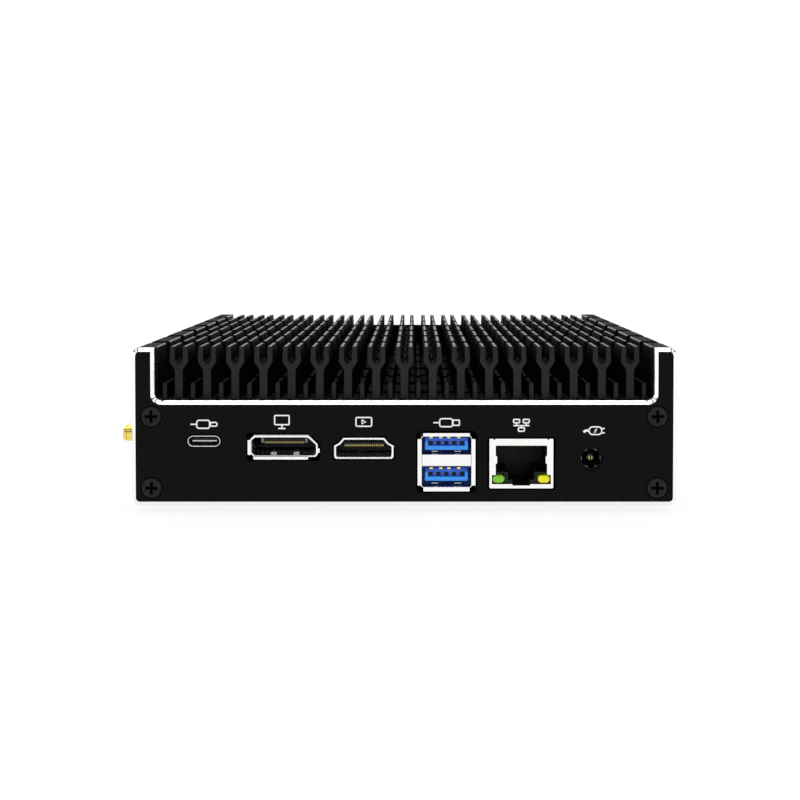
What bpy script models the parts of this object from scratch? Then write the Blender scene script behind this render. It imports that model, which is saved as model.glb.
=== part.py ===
"""Fanless mini PC: a finned aluminium case with its panels, mainboard, ports, antenna jacks and power
button, as separate pieces. All sizes are in millimetres, and MM turns them into Blender's metres.
The origin is the middle of the bottom cover's underside: +X right, -Y the I/O panel's side, +Z up."""

import math

import bmesh
import bpy
from mathutils import Vector

MM = 0.001
GAP = 0.3  # left between pieces that touch

# Case
WIDTH, DEPTH, HEIGHT = 136.0, 126.0, 39.5
HALF_WIDTH, HALF_DEPTH = WIDTH / 2, DEPTH / 2
CORNER = 2.0  # radius of the case's long outer corners
PANEL = 3.0  # thickness of both end panels
EDGE_CUT = 1.1  # chamfer cut round both panels
NOTCH_CORNER = 1.5  # radius at the bottom of the opening above each panel
CASE_END = HALF_DEPTH - PANEL - GAP
WALL_INSIDE = 64.5  # inner face of a side wall
CEILING = 22.3  # underside of the heat-sink base
LEDGE_INSIDE, LEDGE_TOP = 58.5, 7.0
COVER = 2.0  # thickness of the bottom cover
GROOVE_LEVELS, GROOVE_HEIGHT, GROOVE_DEPTH = (28.9, 33.1), 1.5, 0.4

# Heat-sink fins: forked fins with a low rib between each two
FIN_FLOOR, FIN_EDGE = 26.2, 62.2  # channel floor, and the side walls' faces there
FIN_CORNER = 1.0  # radius of the fillet between those two
FIN_PITCH, FIN_PAIRS = 7.1, 8
STEM_HALF, STEM_TOP = 1.0, 33.6
KNEE_HALF, KNEE_LEVEL = 2.35, 35.6
ARM_HALF, FORK_HALF, FORK_LEVEL = 2.15, 1.0, 34.8
RIB_HALF, RIB_TOP = 0.55, 30.3
SLOT_WIDTH, SLOT_PITCH, SLOT_COUNT, SLOT_FLOOR = 4.5, 18.7, 6, 25.6
REAR_NOTCH = 35.8  # lower edge of the opening above the button panel

# Screws and feet
HEAD_RADIUS, HEAD_HEIGHT, SHANK_RADIUS = 2.7, 1.5, 1.2
HOLE_RADIUS = SHANK_RADIUS + GAP
RECESS_REACH, RECESS_WIDTH, RECESS_DEPTH = 1.5, 0.7, 0.9
PANEL_SCREW_X, PANEL_SCREW_LEVELS, PANEL_SCREW_LENGTH = 63.1, (4.4, 22.3), 9.0
COVER_SCREW_X, COVER_SCREW_Y, COVER_SCREW_LENGTH = 61.5, 50.0, 6.0
BOARD_SCREW_X, BOARD_SCREW_Y = 54.0, 44.0
FOOT_X, FOOT_Y, FOOT_RADIUS, FOOT_BOTTOM, FOOT_RECESS = 48.0, 44.0, 5.5, -2.0, 0.7

# Mainboard, and the things it carries on both faces
BOARD_BOTTOM, BOARD_TOP = 18.3, 19.9
BOARD_HALF_X, BOARD_HALF_Y = 59.0, 58.5
HANGING_TOP = BOARD_BOTTOM - GAP
BOSS_RADIUS = 3.0  # of the case's bosses for the board screws
PROCESSOR, DIE = (28.0, 28.0, 0.6), (10.0, 12.0, 0.5)  # width, length and thickness
MODULE_BOTTOM, MODULE_TOP = 12.6, 13.8  # the memory module's board
CARD_BOTTOM, CARD_TOP = 15.5, 16.3  # the boards of the drive and the wireless card
CELL_RADIUS, CELL_THICKNESS = 10.0, 3.2

# Ports of the I/O panel, as (x, z) of each centre
USB_C = (-49.9, 16.2)
DISPLAY = (-30.2, 14.7)
VIDEO = (-10.1, 14.35)
USB_STACK = (10.5, 11.0)
ETHERNET = (29.15, 10.6)
POWER_INLET = (46.6, 11.8)
PROUD = 0.2  # how far a port's shell stands out of its panel
FLANGE = 0.3  # how far a port's front flanges reach into it
COLLAR_RADIUS, INLET_BORE, PIN_RADIUS = 3.1, 2.75, 1.0

# Antenna jacks in the left wall
ANTENNA_YS, ANTENNA_LEVEL = (-26.0, 30.0), 12.0
JACK_RADIUS, JACK_REACH = 3.175, 11.05
JACK_BORE, JACK_TIP, JACK_SHOULDER, JACK_TAIL = 2.1, 2.65, 4.2, 1.6  # radii
NUT_ACROSS, NUT_THICKNESS = 8.0, 2.5
LEAD_RADIUS = 0.65

# Button panel, as (x, z) of each centre
BUTTON = (44.0, 12.0)
STATUS_LIGHT = (28.0, 12.0)
AUDIO = (14.0, 13.4)
REAR_USB = (-10.0, 11.0)
BUTTON_RADIUS, BEZEL_BORE, BEZEL_RADIUS, BEZEL_FLANGE = 4.6, 4.9, 5.7, 7.0
SPRING_RADIUS, SPRING_WIRE, SPRING_TURNS = 3.2, 0.3, 3
SPRING_ENDS = (-4.35, -1.85)  # from the panel's face
LIGHT_RADIUS, AUDIO_RADIUS, AUDIO_BORE = 1.5, 3.0, 1.8


def finish(name, color, roughness, metallic=0.0):
    material = bpy.data.materials.new(name)
    material.use_nodes = True
    shader = material.node_tree.nodes["Principled BSDF"]
    shader.inputs["Base Color"].default_value = (*color, 1.0)
    shader.inputs["Roughness"].default_value = roughness
    shader.inputs["Metallic"].default_value = metallic
    return material


# Drawing outlines and solids


def place(axis, u, v, w):
    """The point (u, v) of an outline, at w along the axis that the outline is drawn on."""
    point = {"X": (w, u, v), "Y": (u, w, v), "Z": (u, v, w)}[axis]
    return Vector(point) * MM


def rounded(corners, steps=4):
    """The outline through (u, v, radius) corners, with an arc at each that has a radius."""
    outline = []
    for i, (u, v, radius) in enumerate(corners):
        corner = Vector((u, v))
        if not radius:
            outline.append(corner)
            continue
        back = (Vector(corners[i - 1][:2]) - corner).normalized()
        ahead = (Vector(corners[(i + 1) % len(corners)][:2]) - corner).normalized()
        half_angle = back.angle(ahead) / 2
        centre = corner + (back + ahead).normalized() * radius / math.sin(half_angle)
        start = corner + back * radius / math.tan(half_angle) - centre
        end = corner + ahead * radius / math.tan(half_angle) - centre
        for step in range(steps + 1):
            outline.append(centre + start.lerp(end, step / steps).normalized() * radius)
    return outline


def rectangle(u, v, width, height, radius=0.0, steps=3):
    """A rectangle's outline round its centre (u, v)."""
    sides = ((-1, -1), (1, -1), (1, 1), (-1, 1))
    return rounded([(u + a * width / 2, v + b * height / 2, radius) for a, b in sides], steps)


def polygon(radius, sides, first_angle=0.0):
    angles = [first_angle + 2 * math.pi * i / sides for i in range(sides)]
    return [(radius * math.cos(angle), radius * math.sin(angle)) for angle in angles]


def add_prism(bm, outline, axis, start, end):
    face = bm.faces.new([bm.verts.new(place(axis, u, v, start)) for u, v in outline])
    extruded = bmesh.ops.extrude_face_region(bm, geom=[face])["geom"]
    tops = [item for item in extruded if isinstance(item, bmesh.types.BMVert)]
    bmesh.ops.translate(bm, verts=tops, vec=place(axis, 0, 0, end - start))


def add_loops(bm, loops, axis):
    """A solid through the loops, each an (outline, w) with as many points as the one before it."""
    rings = [[bm.verts.new(place(axis, u, v, w)) for u, v in outline] for outline, w in loops]
    for ring in (rings[0], rings[-1]):
        bm.faces.new(ring)
    for ring, following in zip(rings, rings[1:]):
        for i in range(len(ring)):
            bm.faces.new((ring[i - 1], ring[i], following[i], following[i - 1]))


def add_turned(bm, profile, axis, u=0.0, v=0.0, steps=16):
    """Turns a profile of (radius, w) points about the axis through (u, v). Its ends lie on the axis, or it
    is a closed loop, whose last point repeats its first."""
    loop = profile[0] == profile[-1] and profile[0][0] > 0
    points = profile[:-1] if loop else profile
    verts = [bm.verts.new(place(axis, u + radius, v, w)) for radius, w in points]
    edges = [bm.edges.new(pair) for pair in zip(verts, verts[1:])]
    if loop:
        edges.append(bm.edges.new((verts[-1], verts[0])))
    bmesh.ops.spin(
        bm,
        geom=verts + edges,
        cent=place(axis, u, v, 0),
        axis=place(axis, 0, 0, 1).normalized(),
        angle=2 * math.pi,
        steps=steps,
    )
    bmesh.ops.remove_doubles(bm, verts=bm.verts, dist=1e-7)


def add_cylinder(bm, axis, u, v, start, end, radius, steps=16):
    add_turned(bm, [(0, start), (radius, start), (radius, end), (0, end)], axis, u, v, steps)


def make(name, bm, material=None, at=(0, 0, 0)):
    """The object that holds this mesh, with its own origin at a point of the part's frame."""
    bmesh.ops.recalc_face_normals(bm, faces=bm.faces)
    mesh = bpy.data.meshes.new(name)
    bm.to_mesh(mesh)
    bm.free()
    return make_copy(name, mesh, material, at)


def make_copy(name, mesh, material, at, turn=(0, 0, 0)):
    if material and not mesh.materials:
        mesh.materials.append(material)
    obj = bpy.data.objects.new(name, mesh)
    obj.location = Vector(at) * MM
    obj.rotation_euler = turn
    bpy.context.collection.objects.link(obj)
    return obj


def prism(name, outline, axis, start, end, material, at=(0, 0, 0)):
    bm = bmesh.new()
    add_prism(bm, outline, axis, start, end)
    return make(name, bm, material, at)


def turned(name, profile, axis, material, at=(0, 0, 0), steps=16):
    bm = bmesh.new()
    add_turned(bm, profile, axis, steps=steps)
    obj = make(name, bm, material, at)
    obj.data.shade_smooth()
    obj.data.set_sharp_from_angle(angle=math.radians(30))
    return obj


def boolean(obj, bm, operation="DIFFERENCE"):
    """Cuts the mesh from the object, or joins it on. The mesh is drawn round the object's own origin."""
    helper = make(obj.name + "_" + operation.lower(), bm)
    helper.parent = obj
    helper.hide_render = True
    helper.display_type = "WIRE"
    modifier = obj.modifiers.new(operation.title(), "BOOLEAN")
    modifier.operation = operation
    modifier.solver = "EXACT"
    modifier.object = helper
    return obj


def applied(obj):
    """The object's mesh with its modifiers applied, for copies to share. The object and its helpers go."""
    bpy.context.view_layer.update()
    graph = bpy.context.evaluated_depsgraph_get()
    mesh = bpy.data.meshes.new_from_object(obj.evaluated_get(graph))
    for child in list(obj.children):
        bpy.data.objects.remove(child, do_unlink=True)
    bpy.data.objects.remove(obj, do_unlink=True)
    return mesh


def blocks(name, prisms, material, at):
    """One solid from prisms that overlap, each an (outline, start, end) along Y."""
    obj = prism(name, *prisms[0][:1], "Y", *prisms[0][1:], material, at)
    for outline, start, end in prisms[1:]:
        bm = bmesh.new()
        add_prism(bm, outline, "Y", start, end)
        boolean(obj, bm, "UNION")
    return obj


# Case, panels and fasteners


def case_outline():
    """The heat-sink case's section: side walls, fins, and the cavity for the mainboard."""
    fork = [(STEM_HALF, FIN_FLOOR), (STEM_HALF, STEM_TOP), (KNEE_HALF, KNEE_LEVEL), (ARM_HALF, HEIGHT)]
    fork += [(FORK_HALF, HEIGHT), (FORK_HALF, FORK_LEVEL)]
    rib = [(RIB_HALF, FIN_FLOOR), (RIB_HALF, RIB_TOP)]
    outside = [(HALF_WIDTH, 0)]
    for level in GROOVE_LEVELS:
        low, high = level - GROOVE_HEIGHT / 2, level + GROOVE_HEIGHT / 2
        inner = HALF_WIDTH - GROOVE_DEPTH
        outside += [(HALF_WIDTH, low), (inner, low), (inner, high), (HALF_WIDTH, high)]
    wall_top = [(HALF_WIDTH, HEIGHT / 2, 0), (HALF_WIDTH, HEIGHT, CORNER), (FIN_EDGE, HEIGHT, 0)]
    wall_top += [(FIN_EDGE, FIN_FLOOR, FIN_CORNER), (0, FIN_FLOOR, 0)]
    outside += [tuple(point) for point in rounded(wall_top)[1:-1]]
    inside = [
        (WALL_INSIDE, 0),
        (WALL_INSIDE, COVER + GAP),
        (LEDGE_INSIDE, COVER + GAP),
        (LEDGE_INSIDE, LEDGE_TOP),
        (WALL_INSIDE, LEDGE_TOP),
        (WALL_INSIDE, 18.0),
        (60.0, 19.8),
        (60.0, CEILING),
    ]
    outline = [(-u, v) for u, v in outside]
    for i in range(-2 * FIN_PAIRS - 1, 2 * FIN_PAIRS + 2):
        half = rib if i % 2 else fork
        centre = i * FIN_PITCH / 2
        outline += [(centre - u, v) for u, v in half]
        outline += [(centre + u, v) for u, v in reversed(half)]
    outline += reversed(outside)
    return outline + inside + [(-u, v) for u, v in reversed(inside)]


def at_corners(x, y):
    return [(a * x, b * y) for a in (-1, 1) for b in (-1, 1)]


def make_case(aluminium):
    case = prism("heatsink_case", case_outline(), "Y", -CASE_END, CASE_END, aluminium)
    bosses, slots, holes = bmesh.new(), bmesh.new(), bmesh.new()
    for x, y in at_corners(BOARD_SCREW_X, BOARD_SCREW_Y):
        add_cylinder(bosses, "Z", x, y, BOARD_TOP + GAP, CEILING + 1, BOSS_RADIUS, 12)
        add_cylinder(holes, "Z", x, y, BOARD_TOP, CEILING + 1.5, HOLE_RADIUS, 12)
    slot = rectangle(0, SLOT_FLOOR + HEIGHT / 2, WIDTH + 4, HEIGHT)
    for i in range(SLOT_COUNT):
        middle = (i - (SLOT_COUNT - 1) / 2) * SLOT_PITCH
        add_prism(slots, slot, "Y", middle - SLOT_WIDTH / 2, middle + SLOT_WIDTH / 2)
    for x in (-PANEL_SCREW_X, PANEL_SCREW_X):
        for z in PANEL_SCREW_LEVELS:
            for end in (-1, 1):
                tip = HALF_DEPTH - PANEL_SCREW_LENGTH - GAP
                add_cylinder(holes, "Y", x, z, end * HALF_DEPTH, end * tip, HOLE_RADIUS, 12)
    for x, y in at_corners(COVER_SCREW_X, COVER_SCREW_Y):
        add_cylinder(holes, "Z", x, y, COVER, LEDGE_TOP + 2, HOLE_RADIUS, 12)
    for y in ANTENNA_YS:
        add_cylinder(holes, "X", y, ANTENNA_LEVEL, -HALF_WIDTH - 1, -WALL_INSIDE + 1, JACK_RADIUS + GAP)
    boolean(case, bosses, "UNION")
    boolean(case, slots)
    return boolean(case, holes)


def panel_outline(notch, inset):
    """An end panel's outline: a rectangle, open above the notch level between the side walls."""
    edge, side, top = FIN_EDGE + inset, HALF_WIDTH - inset, HEIGHT - inset
    right = [(edge, notch - inset, NOTCH_CORNER + inset), (edge, top, 0), (side, top, CORNER - inset)]
    right.append((side, inset, CORNER - inset))
    left = [(-x, z, radius) for x, z, radius in reversed(right)]
    return rounded(right + left)


def countersink(bm, axis, u, v, face, inward):
    """A hole for a countersunk screw whose head lies flush with the face. Inward is +1 or -1."""
    outer = HEAD_RADIUS + GAP
    profile = [(0, -1), (outer, -1), (outer, GAP), (HOLE_RADIUS, HEAD_HEIGHT + GAP)]
    profile += [(HOLE_RADIUS, 5), (0, 5)]
    add_turned(bm, [(radius, face + inward * w) for radius, w in profile], axis, u, v)


def make_panel(name, notch, face, inward, openings, material):
    """An end panel, whose outer face has a chamfer cut all round. The openings are (x, z) outlines."""
    bm, edge = bmesh.new(), panel_outline(notch, 0)
    loops = [(panel_outline(notch, EDGE_CUT), face), (edge, face + inward * EDGE_CUT)]
    add_loops(bm, loops + [(edge, face + inward * PANEL)], "Y")
    panel = make(name, bm, material)
    cuts = bmesh.new()
    for outline in openings:
        add_prism(cuts, outline, "Y", face - 2 * inward, face + inward * (PANEL + 2))
    for x in (-PANEL_SCREW_X, PANEL_SCREW_X):
        for z in PANEL_SCREW_LEVELS:
            countersink(cuts, "Y", x, z, face, inward)
    return boolean(panel, cuts)


def moved(outline, centre):
    return [(centre[0] + u, centre[1] + v) for u, v in outline]


def make_cover(material):
    outline = rectangle(0, 0, 2 * (WALL_INSIDE - GAP), 2 * CASE_END)
    cover = prism("bottom_cover", outline, "Z", 0, COVER, material)
    cuts = bmesh.new()
    for x, y in at_corners(COVER_SCREW_X, COVER_SCREW_Y):
        countersink(cuts, "Z", x, y, 0, 1)
    for x, y in at_corners(FOOT_X, FOOT_Y):
        add_cylinder(cuts, "Z", x, y, -1, FOOT_RECESS, FOOT_RADIUS + GAP, 20)
    return boolean(cover, cuts)


def screw_mesh(length, material):
    """A countersunk screw with a cross recess, its head's face at the origin and facing +Z."""
    profile = [(0, 0), (HEAD_RADIUS, 0), (HEAD_RADIUS, -0.25), (SHANK_RADIUS, -HEAD_HEIGHT - 0.25)]
    profile += [(SHANK_RADIUS, -length), (0, -length)]
    screw = turned("screw", profile, "Z", material, steps=12)
    a, b = RECESS_WIDTH / 2, RECESS_REACH
    quarter = [(a, a), (a, b), (-a, b)]
    cross = []
    for _ in range(4):
        cross += quarter
        quarter = [(-v, u) for u, v in quarter]
    recess = bmesh.new()
    add_prism(recess, cross, "Z", -RECESS_DEPTH, 1)
    return applied(boolean(screw, recess))


def make_fasteners(black, zinc, rubber):
    panel_screw = screw_mesh(PANEL_SCREW_LENGTH, black)
    cover_screw = screw_mesh(COVER_SCREW_LENGTH, black)
    corners = [(x, z) for z in PANEL_SCREW_LEVELS for x in (-PANEL_SCREW_X, PANEL_SCREW_X)]
    for name, face in (("io_panel_screw", -HALF_DEPTH), ("button_panel_screw", HALF_DEPTH)):
        turn = (math.copysign(math.pi / 2, -face), 0, 0)
        for number, (x, z) in enumerate(corners, 1):
            make_copy(f"{name}_{number}", panel_screw, black, (x, face, z), turn)
    for number, (x, y) in enumerate(at_corners(COVER_SCREW_X, COVER_SCREW_Y), 1):
        make_copy(f"cover_screw_{number}", cover_screw, black, (x, y, 0), (math.pi, 0, 0))
    head_face = HANGING_TOP - 1.4
    profile = [(0, CEILING), (SHANK_RADIUS, CEILING), (SHANK_RADIUS, HANGING_TOP), (2.4, HANGING_TOP)]
    profile += [(2.4, head_face), (0, head_face)]
    board_screw = applied(turned("screw", profile, "Z", zinc, steps=12))
    for number, (x, y) in enumerate(at_corners(BOARD_SCREW_X, BOARD_SCREW_Y), 1):
        make_copy(f"board_screw_{number}", board_screw, zinc, (x, y, 0))
    profile = [(0, FOOT_RECESS - GAP), (FOOT_RADIUS, FOOT_RECESS - GAP), (FOOT_RADIUS, -1.3)]
    profile += [(FOOT_RADIUS - 0.7, FOOT_BOTTOM), (0, FOOT_BOTTOM)]
    foot = applied(turned("foot", profile, "Z", rubber, steps=20))
    for number, (x, y) in enumerate(at_corners(FOOT_X, FOOT_Y), 1):
        make_copy(f"rubber_foot_{number}", foot, rubber, (x, y, 0))


# Mainboard


def box(name, low, high, material):
    """A box between two corners."""
    middle = [(a + b) / 2 for a, b in zip(low, high)]
    outline = rectangle(0, 0, high[0] - low[0], high[1] - low[1])
    return prism(name, outline, "Z", low[2] - middle[2], high[2] - middle[2], material, middle)


def join_boxes(obj, boxes):
    """Joins boxes, each a (low corner, high corner) round the object's origin."""
    for low, high in boxes:
        bm = bmesh.new()
        middle = [(a + b) / 2 for a, b in zip(low, high)]
        add_prism(bm, rectangle(*middle[:2], high[0] - low[0], high[1] - low[1]), "Z", low[2], high[2])
        boolean(obj, bm, "UNION")
    return obj


def make_board(green, silicon, pad, plastic, zinc):
    """The mainboard, with the processor on top, and the memory, drive, wireless card and cell below it."""
    low, high = (-BOARD_HALF_X, -BOARD_HALF_Y, BOARD_BOTTOM), (BOARD_HALF_X, BOARD_HALF_Y, BOARD_TOP)
    board = box("mainboard", low, high, green)
    holes = bmesh.new()
    for x, y in at_corners(BOARD_SCREW_X, BOARD_SCREW_Y):
        add_cylinder(holes, "Z", x, y, -2, 2, HOLE_RADIUS + 0.1, 12)
    boolean(board, holes)

    carrier_bottom = BOARD_TOP + GAP
    low = (-PROCESSOR[0] / 2, -20, carrier_bottom)
    high = (PROCESSOR[0] / 2, -20 + PROCESSOR[1], carrier_bottom + PROCESSOR[2])
    processor = box("processor", low, high, silicon)
    die_top = PROCESSOR[2] / 2 + DIE[2]
    join_boxes(processor, [((-DIE[0] / 2, -DIE[1] / 2, 0), (DIE[0] / 2, DIE[1] / 2, die_top + GAP))])
    box("thermal_pad", (-9, -17, CEILING - GAP - 0.4), (9, 5, CEILING - GAP), pad)

    box("memory_module", (20, -30, MODULE_BOTTOM), (50, 37.6, MODULE_TOP), green)
    socket = box("memory_socket", (50.4, -33, 12), (56.4, 41, HANGING_TOP), plastic)
    join_boxes(socket, [((-27.4, y, -1.5), (-2, y + 2, 3)) for y in (-37, 35)])
    groove = bmesh.new()
    add_prism(groove, rectangle(-2.5, 0, 3, 69), "Z", -2.6, -0.6)
    boolean(socket, groove)

    drive = box("ssd_module", (-12, -38, CARD_BOTTOM), (10, 42, CARD_TOP), green)
    join_boxes(drive, [((-9, y, -1.6), (9, y + 18, 0)) for y in (-32, -10)])
    join_boxes(drive, [((-6, 14, -1.4), (6, 26, 0))])
    card = box("wireless_card", (-46, 6, CARD_BOTTOM), (-24, 36, CARD_TOP), green)
    join_boxes(card, [((-8, -12, -1.7), (8, 5, 0))])
    cell = bmesh.new()
    add_cylinder(cell, "Z", 0, 0, -CELL_THICKNESS / 2, CELL_THICKNESS / 2, CELL_RADIUS, 24)
    make("coin_cell", cell, zinc, (-32, -24, HANGING_TOP - 2))


# Ports


def ring(name, outer, inner, length, material, at):
    """A port's sheet-metal shell: a tube with this outer and inner outline, PROUD of the panel's face."""
    obj = prism(name, outer, "Y", -PROUD, length, material, at)
    bore = bmesh.new()
    add_prism(bore, inner, "Y", -1, length + 1)
    return boolean(obj, bore)


def add_flanges(shell, outlines, facing=1):
    """Joins the flanges that a port's shell has round its mouth."""
    for outline in outlines:
        flange = bmesh.new()
        add_prism(flange, outline, "Y", -facing * PROUD, facing * FLANGE)
        boolean(shell, flange, "UNION")


def mirror_points(right):
    return right + [(-x, z) for x, z in reversed(right)]


def make_usb_c(steel, plastic):
    at = (USB_C[0], -HALF_DEPTH, USB_C[1])
    outer, inner = rectangle(0, 0, 8.9, 3.2, 1.55), rectangle(0, 0, 8.3, 2.6, 1.25)
    ring("usb_c_port_shell", outer, inner, 7.5, steel, at)
    base, tongue = rectangle(0, 0, 7.6, 1.9, 0.9), rectangle(0, 0, 6.7, 0.7)
    blocks("usb_c_port_tongue", [(base, 4.5, 7.5), (tongue, 0.8, 5)], plastic, at)


def make_display_port(steel, plastic):
    at = (DISPLAY[0], -HALF_DEPTH, DISPLAY[1])
    outer = [(-7.3, -2.45), (8.0, -2.45), (8.5, -1.9), (8.5, 0.8), (6.3, 3.1), (-7.2, 3.1)]
    outer += [(-8.2, 2.1), (-8.2, -1.6)]
    inner = [(-7.0, -1.9), (7.6, -1.9), (7.9, -1.6), (7.9, 0.5), (6.0, 2.4), (-7.0, 2.4)]
    inner += [(-7.7, 1.7), (-7.7, -1.2)]
    shell = ring("display_port_shell", outer, inner, 15, steel, at)
    left, bottom = rectangle(-8.5, -0.05, 1.0, 3.7), rectangle(-0.7, -2.6, 13.7, 1.0)
    add_flanges(shell, [left, bottom, rectangle(8.7, -0.9, 0.7, 1.2)])
    back = [(-6.6, -1.5), (7.2, -1.5), (7.4, 0.3), (5.8, 2.0), (-6.8, 2.0), (-7.2, 1.4)]
    blocks("display_port_insert", [(back, 9, 15), (rectangle(0, 1.2, 11.8, 1.1), 1.2, 9.5)], plastic, at)


def make_video_port(steel, plastic):
    at = (VIDEO[0], -HALF_DEPTH, VIDEO[1])
    outer = mirror_points([(6.5, -2.7), (7.5, -1.7), (7.5, 0.7), (6.15, 1.35), (5.1, 2.7)])
    inner = mirror_points([(6.3, -2.15), (6.95, -1.5), (6.95, 0.35), (5.8, 0.95), (4.8, 2.15)])
    back = mirror_points([(5.9, -1.8), (6.5, -1.3), (6.5, 0.0), (5.5, 0.6), (4.6, 1.7)])
    ring("hd_video_port_shell", outer, inner, 11, steel, at)
    blocks("hd_video_port_insert", [(back, 7.5, 11), (rectangle(0, 0.8, 10, 1.0), 1.0, 8)], plastic, at)


def make_usb_stack(name, centre, steel, plastic, facing):
    """Two USB sockets above each other, in the I/O panel (facing 1) or the button panel (facing -1)."""
    at = (centre[0], -facing * HALF_DEPTH, centre[1])
    outer = rectangle(0, 0.05, 13.1, 13.5)
    shell = prism(name + "_shell", outer, "Y", -facing * PROUD, facing * 17, steel, at)
    bore = bmesh.new()
    add_prism(bore, rectangle(0, 0.05, 12.3, 12.7), "Y", -facing, facing * 18)
    boolean(shell, bore)
    bar = bmesh.new()
    add_prism(bar, rectangle(0, 0.4, 12.6, 3.1), "Y", -facing * PROUD, facing * 10)
    boolean(shell, bar, "UNION")
    for side in (-6.8, 6.8):
        flanges = [rectangle(side, 0, 1.0, 11.6), rectangle(0, side, 11.6, 1.0)]
        add_flanges(shell, flanges, facing)
    base = (rectangle(0, 0.05, 11.6, 12.0), facing * 10.4, facing * 16.6)
    tongues = [(rectangle(0, level, 11.0, 2.1), facing * 1.4, facing * 11) for level in (-3.85, 3.85)]
    blocks(name + "_insert", [base] + tongues, plastic, at)


def make_ethernet(steel, plastic, green_lens, yellow_lens):
    at = (ETHERNET[0], -HALF_DEPTH, ETHERNET[1])
    shield = prism("ethernet_jack_shield", rectangle(0, 0, 16.2, 12.45), "Y", -PROUD, 16, steel, at)
    roof = bmesh.new()
    add_prism(roof, rectangle(0, 6.6, 16.2, 1.6), "Y", 3.5, 16)
    boolean(shield, roof, "UNION")
    inside, mouth = bmesh.new(), bmesh.new()
    add_prism(inside, rectangle(0, 0.1, 15.4, 11.8), "Y", 0.3, 17)
    opening = mirror_points([(2.2, -5.5), (2.2, -5.1), (7.2, -5.1), (7.2, -2.85), (6.2, -2.85), (6.2, 4.4)])
    add_prism(mouth, opening, "Y", -1, 1)
    boolean(boolean(shield, inside), mouth)
    insert = prism("ethernet_jack_insert", rectangle(0, 0.1, 14.8, 11.2), "Y", 0.6, 15.6, plastic, at)
    cavity = bmesh.new()
    hollow = mirror_points([(2.2, -5.2), (2.2, -4.1), (3.2, -4.1), (3.2, -2.2), (6.1, -2.2), (6.1, 4.3)])
    add_prism(cavity, hollow, "Y", 0, 12.5)
    boolean(insert, cavity)
    pockets = bmesh.new()
    for side in (-1, 1):
        add_prism(pockets, rectangle(side * 5.75, -4.0, 3.5, 2.7), "Y", 0, 5)
    boolean(insert, pockets)
    for side, color, lens in ((-1, "green", green_lens), (1, "yellow", yellow_lens)):
        outline = rectangle(side * 5.7, -4.0, 2.8, 2.0, 0.95)
        prism(f"ethernet_jack_light_{color}", outline, "Y", 0.2, 4.7, lens, at)


def make_power_inlet(plastic, brass):
    at = (POWER_INLET[0], -HALF_DEPTH, POWER_INLET[1])
    jack = prism("dc_jack_body", rectangle(0, 0.6, 9.0, 11.0), "Y", PANEL + GAP, 16, plastic, at)
    collar, bore = bmesh.new(), bmesh.new()
    add_cylinder(collar, "Y", 0, 0, 0.4, PANEL + 1, COLLAR_RADIUS, 24)
    hole, floor, end = PIN_RADIUS + GAP + 0.05, 12, 17
    profile = [(0, 0), (INLET_BORE, 0), (INLET_BORE, floor), (hole, floor), (hole, end), (0, end)]
    add_turned(bore, profile, "Y", steps=24)
    boolean(boolean(jack, collar, "UNION"), bore)
    profile = [(0, 1.4), (PIN_RADIUS - 0.3, 1.4), (PIN_RADIUS, 1.8), (PIN_RADIUS, end), (0, end)]
    turned("dc_jack_pin", profile, "Y", brass, at, 12)


def smooth_route(points, per_span):
    """Points of a Catmull-Rom curve through the route's own points."""
    knots = [Vector(point) for point in points]
    knots = [2 * knots[0] - knots[1]] + knots + [2 * knots[-1] - knots[-2]]
    route = []
    for a, b, c, d in zip(knots, knots[1:], knots[2:], knots[3:]):
        square, cube = 2 * a - 5 * b + 4 * c - d, 3 * b - a - 3 * c + d
        for step in range(per_span):
            t = step / per_span
            route.append((2 * b + (c - a) * t + square * t**2 + cube * t**3) / 2)
    return route + [knots[-2]]


def wire(name, route, radius, resolution, material):
    """A round wire along a route."""
    curve = bpy.data.curves.new(name, "CURVE")
    curve.dimensions = "3D"
    curve.bevel_depth = radius * MM
    curve.bevel_resolution = resolution
    curve.use_fill_caps = True
    spline = curve.splines.new("POLY")
    spline.points.add(len(route) - 1)
    for point, target in zip(spline.points, route):
        point.co = (*(Vector(target) * MM), 1)
    curve.materials.append(material)
    obj = bpy.data.objects.new(name, curve)
    bpy.context.collection.objects.link(obj)
    return obj


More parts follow.
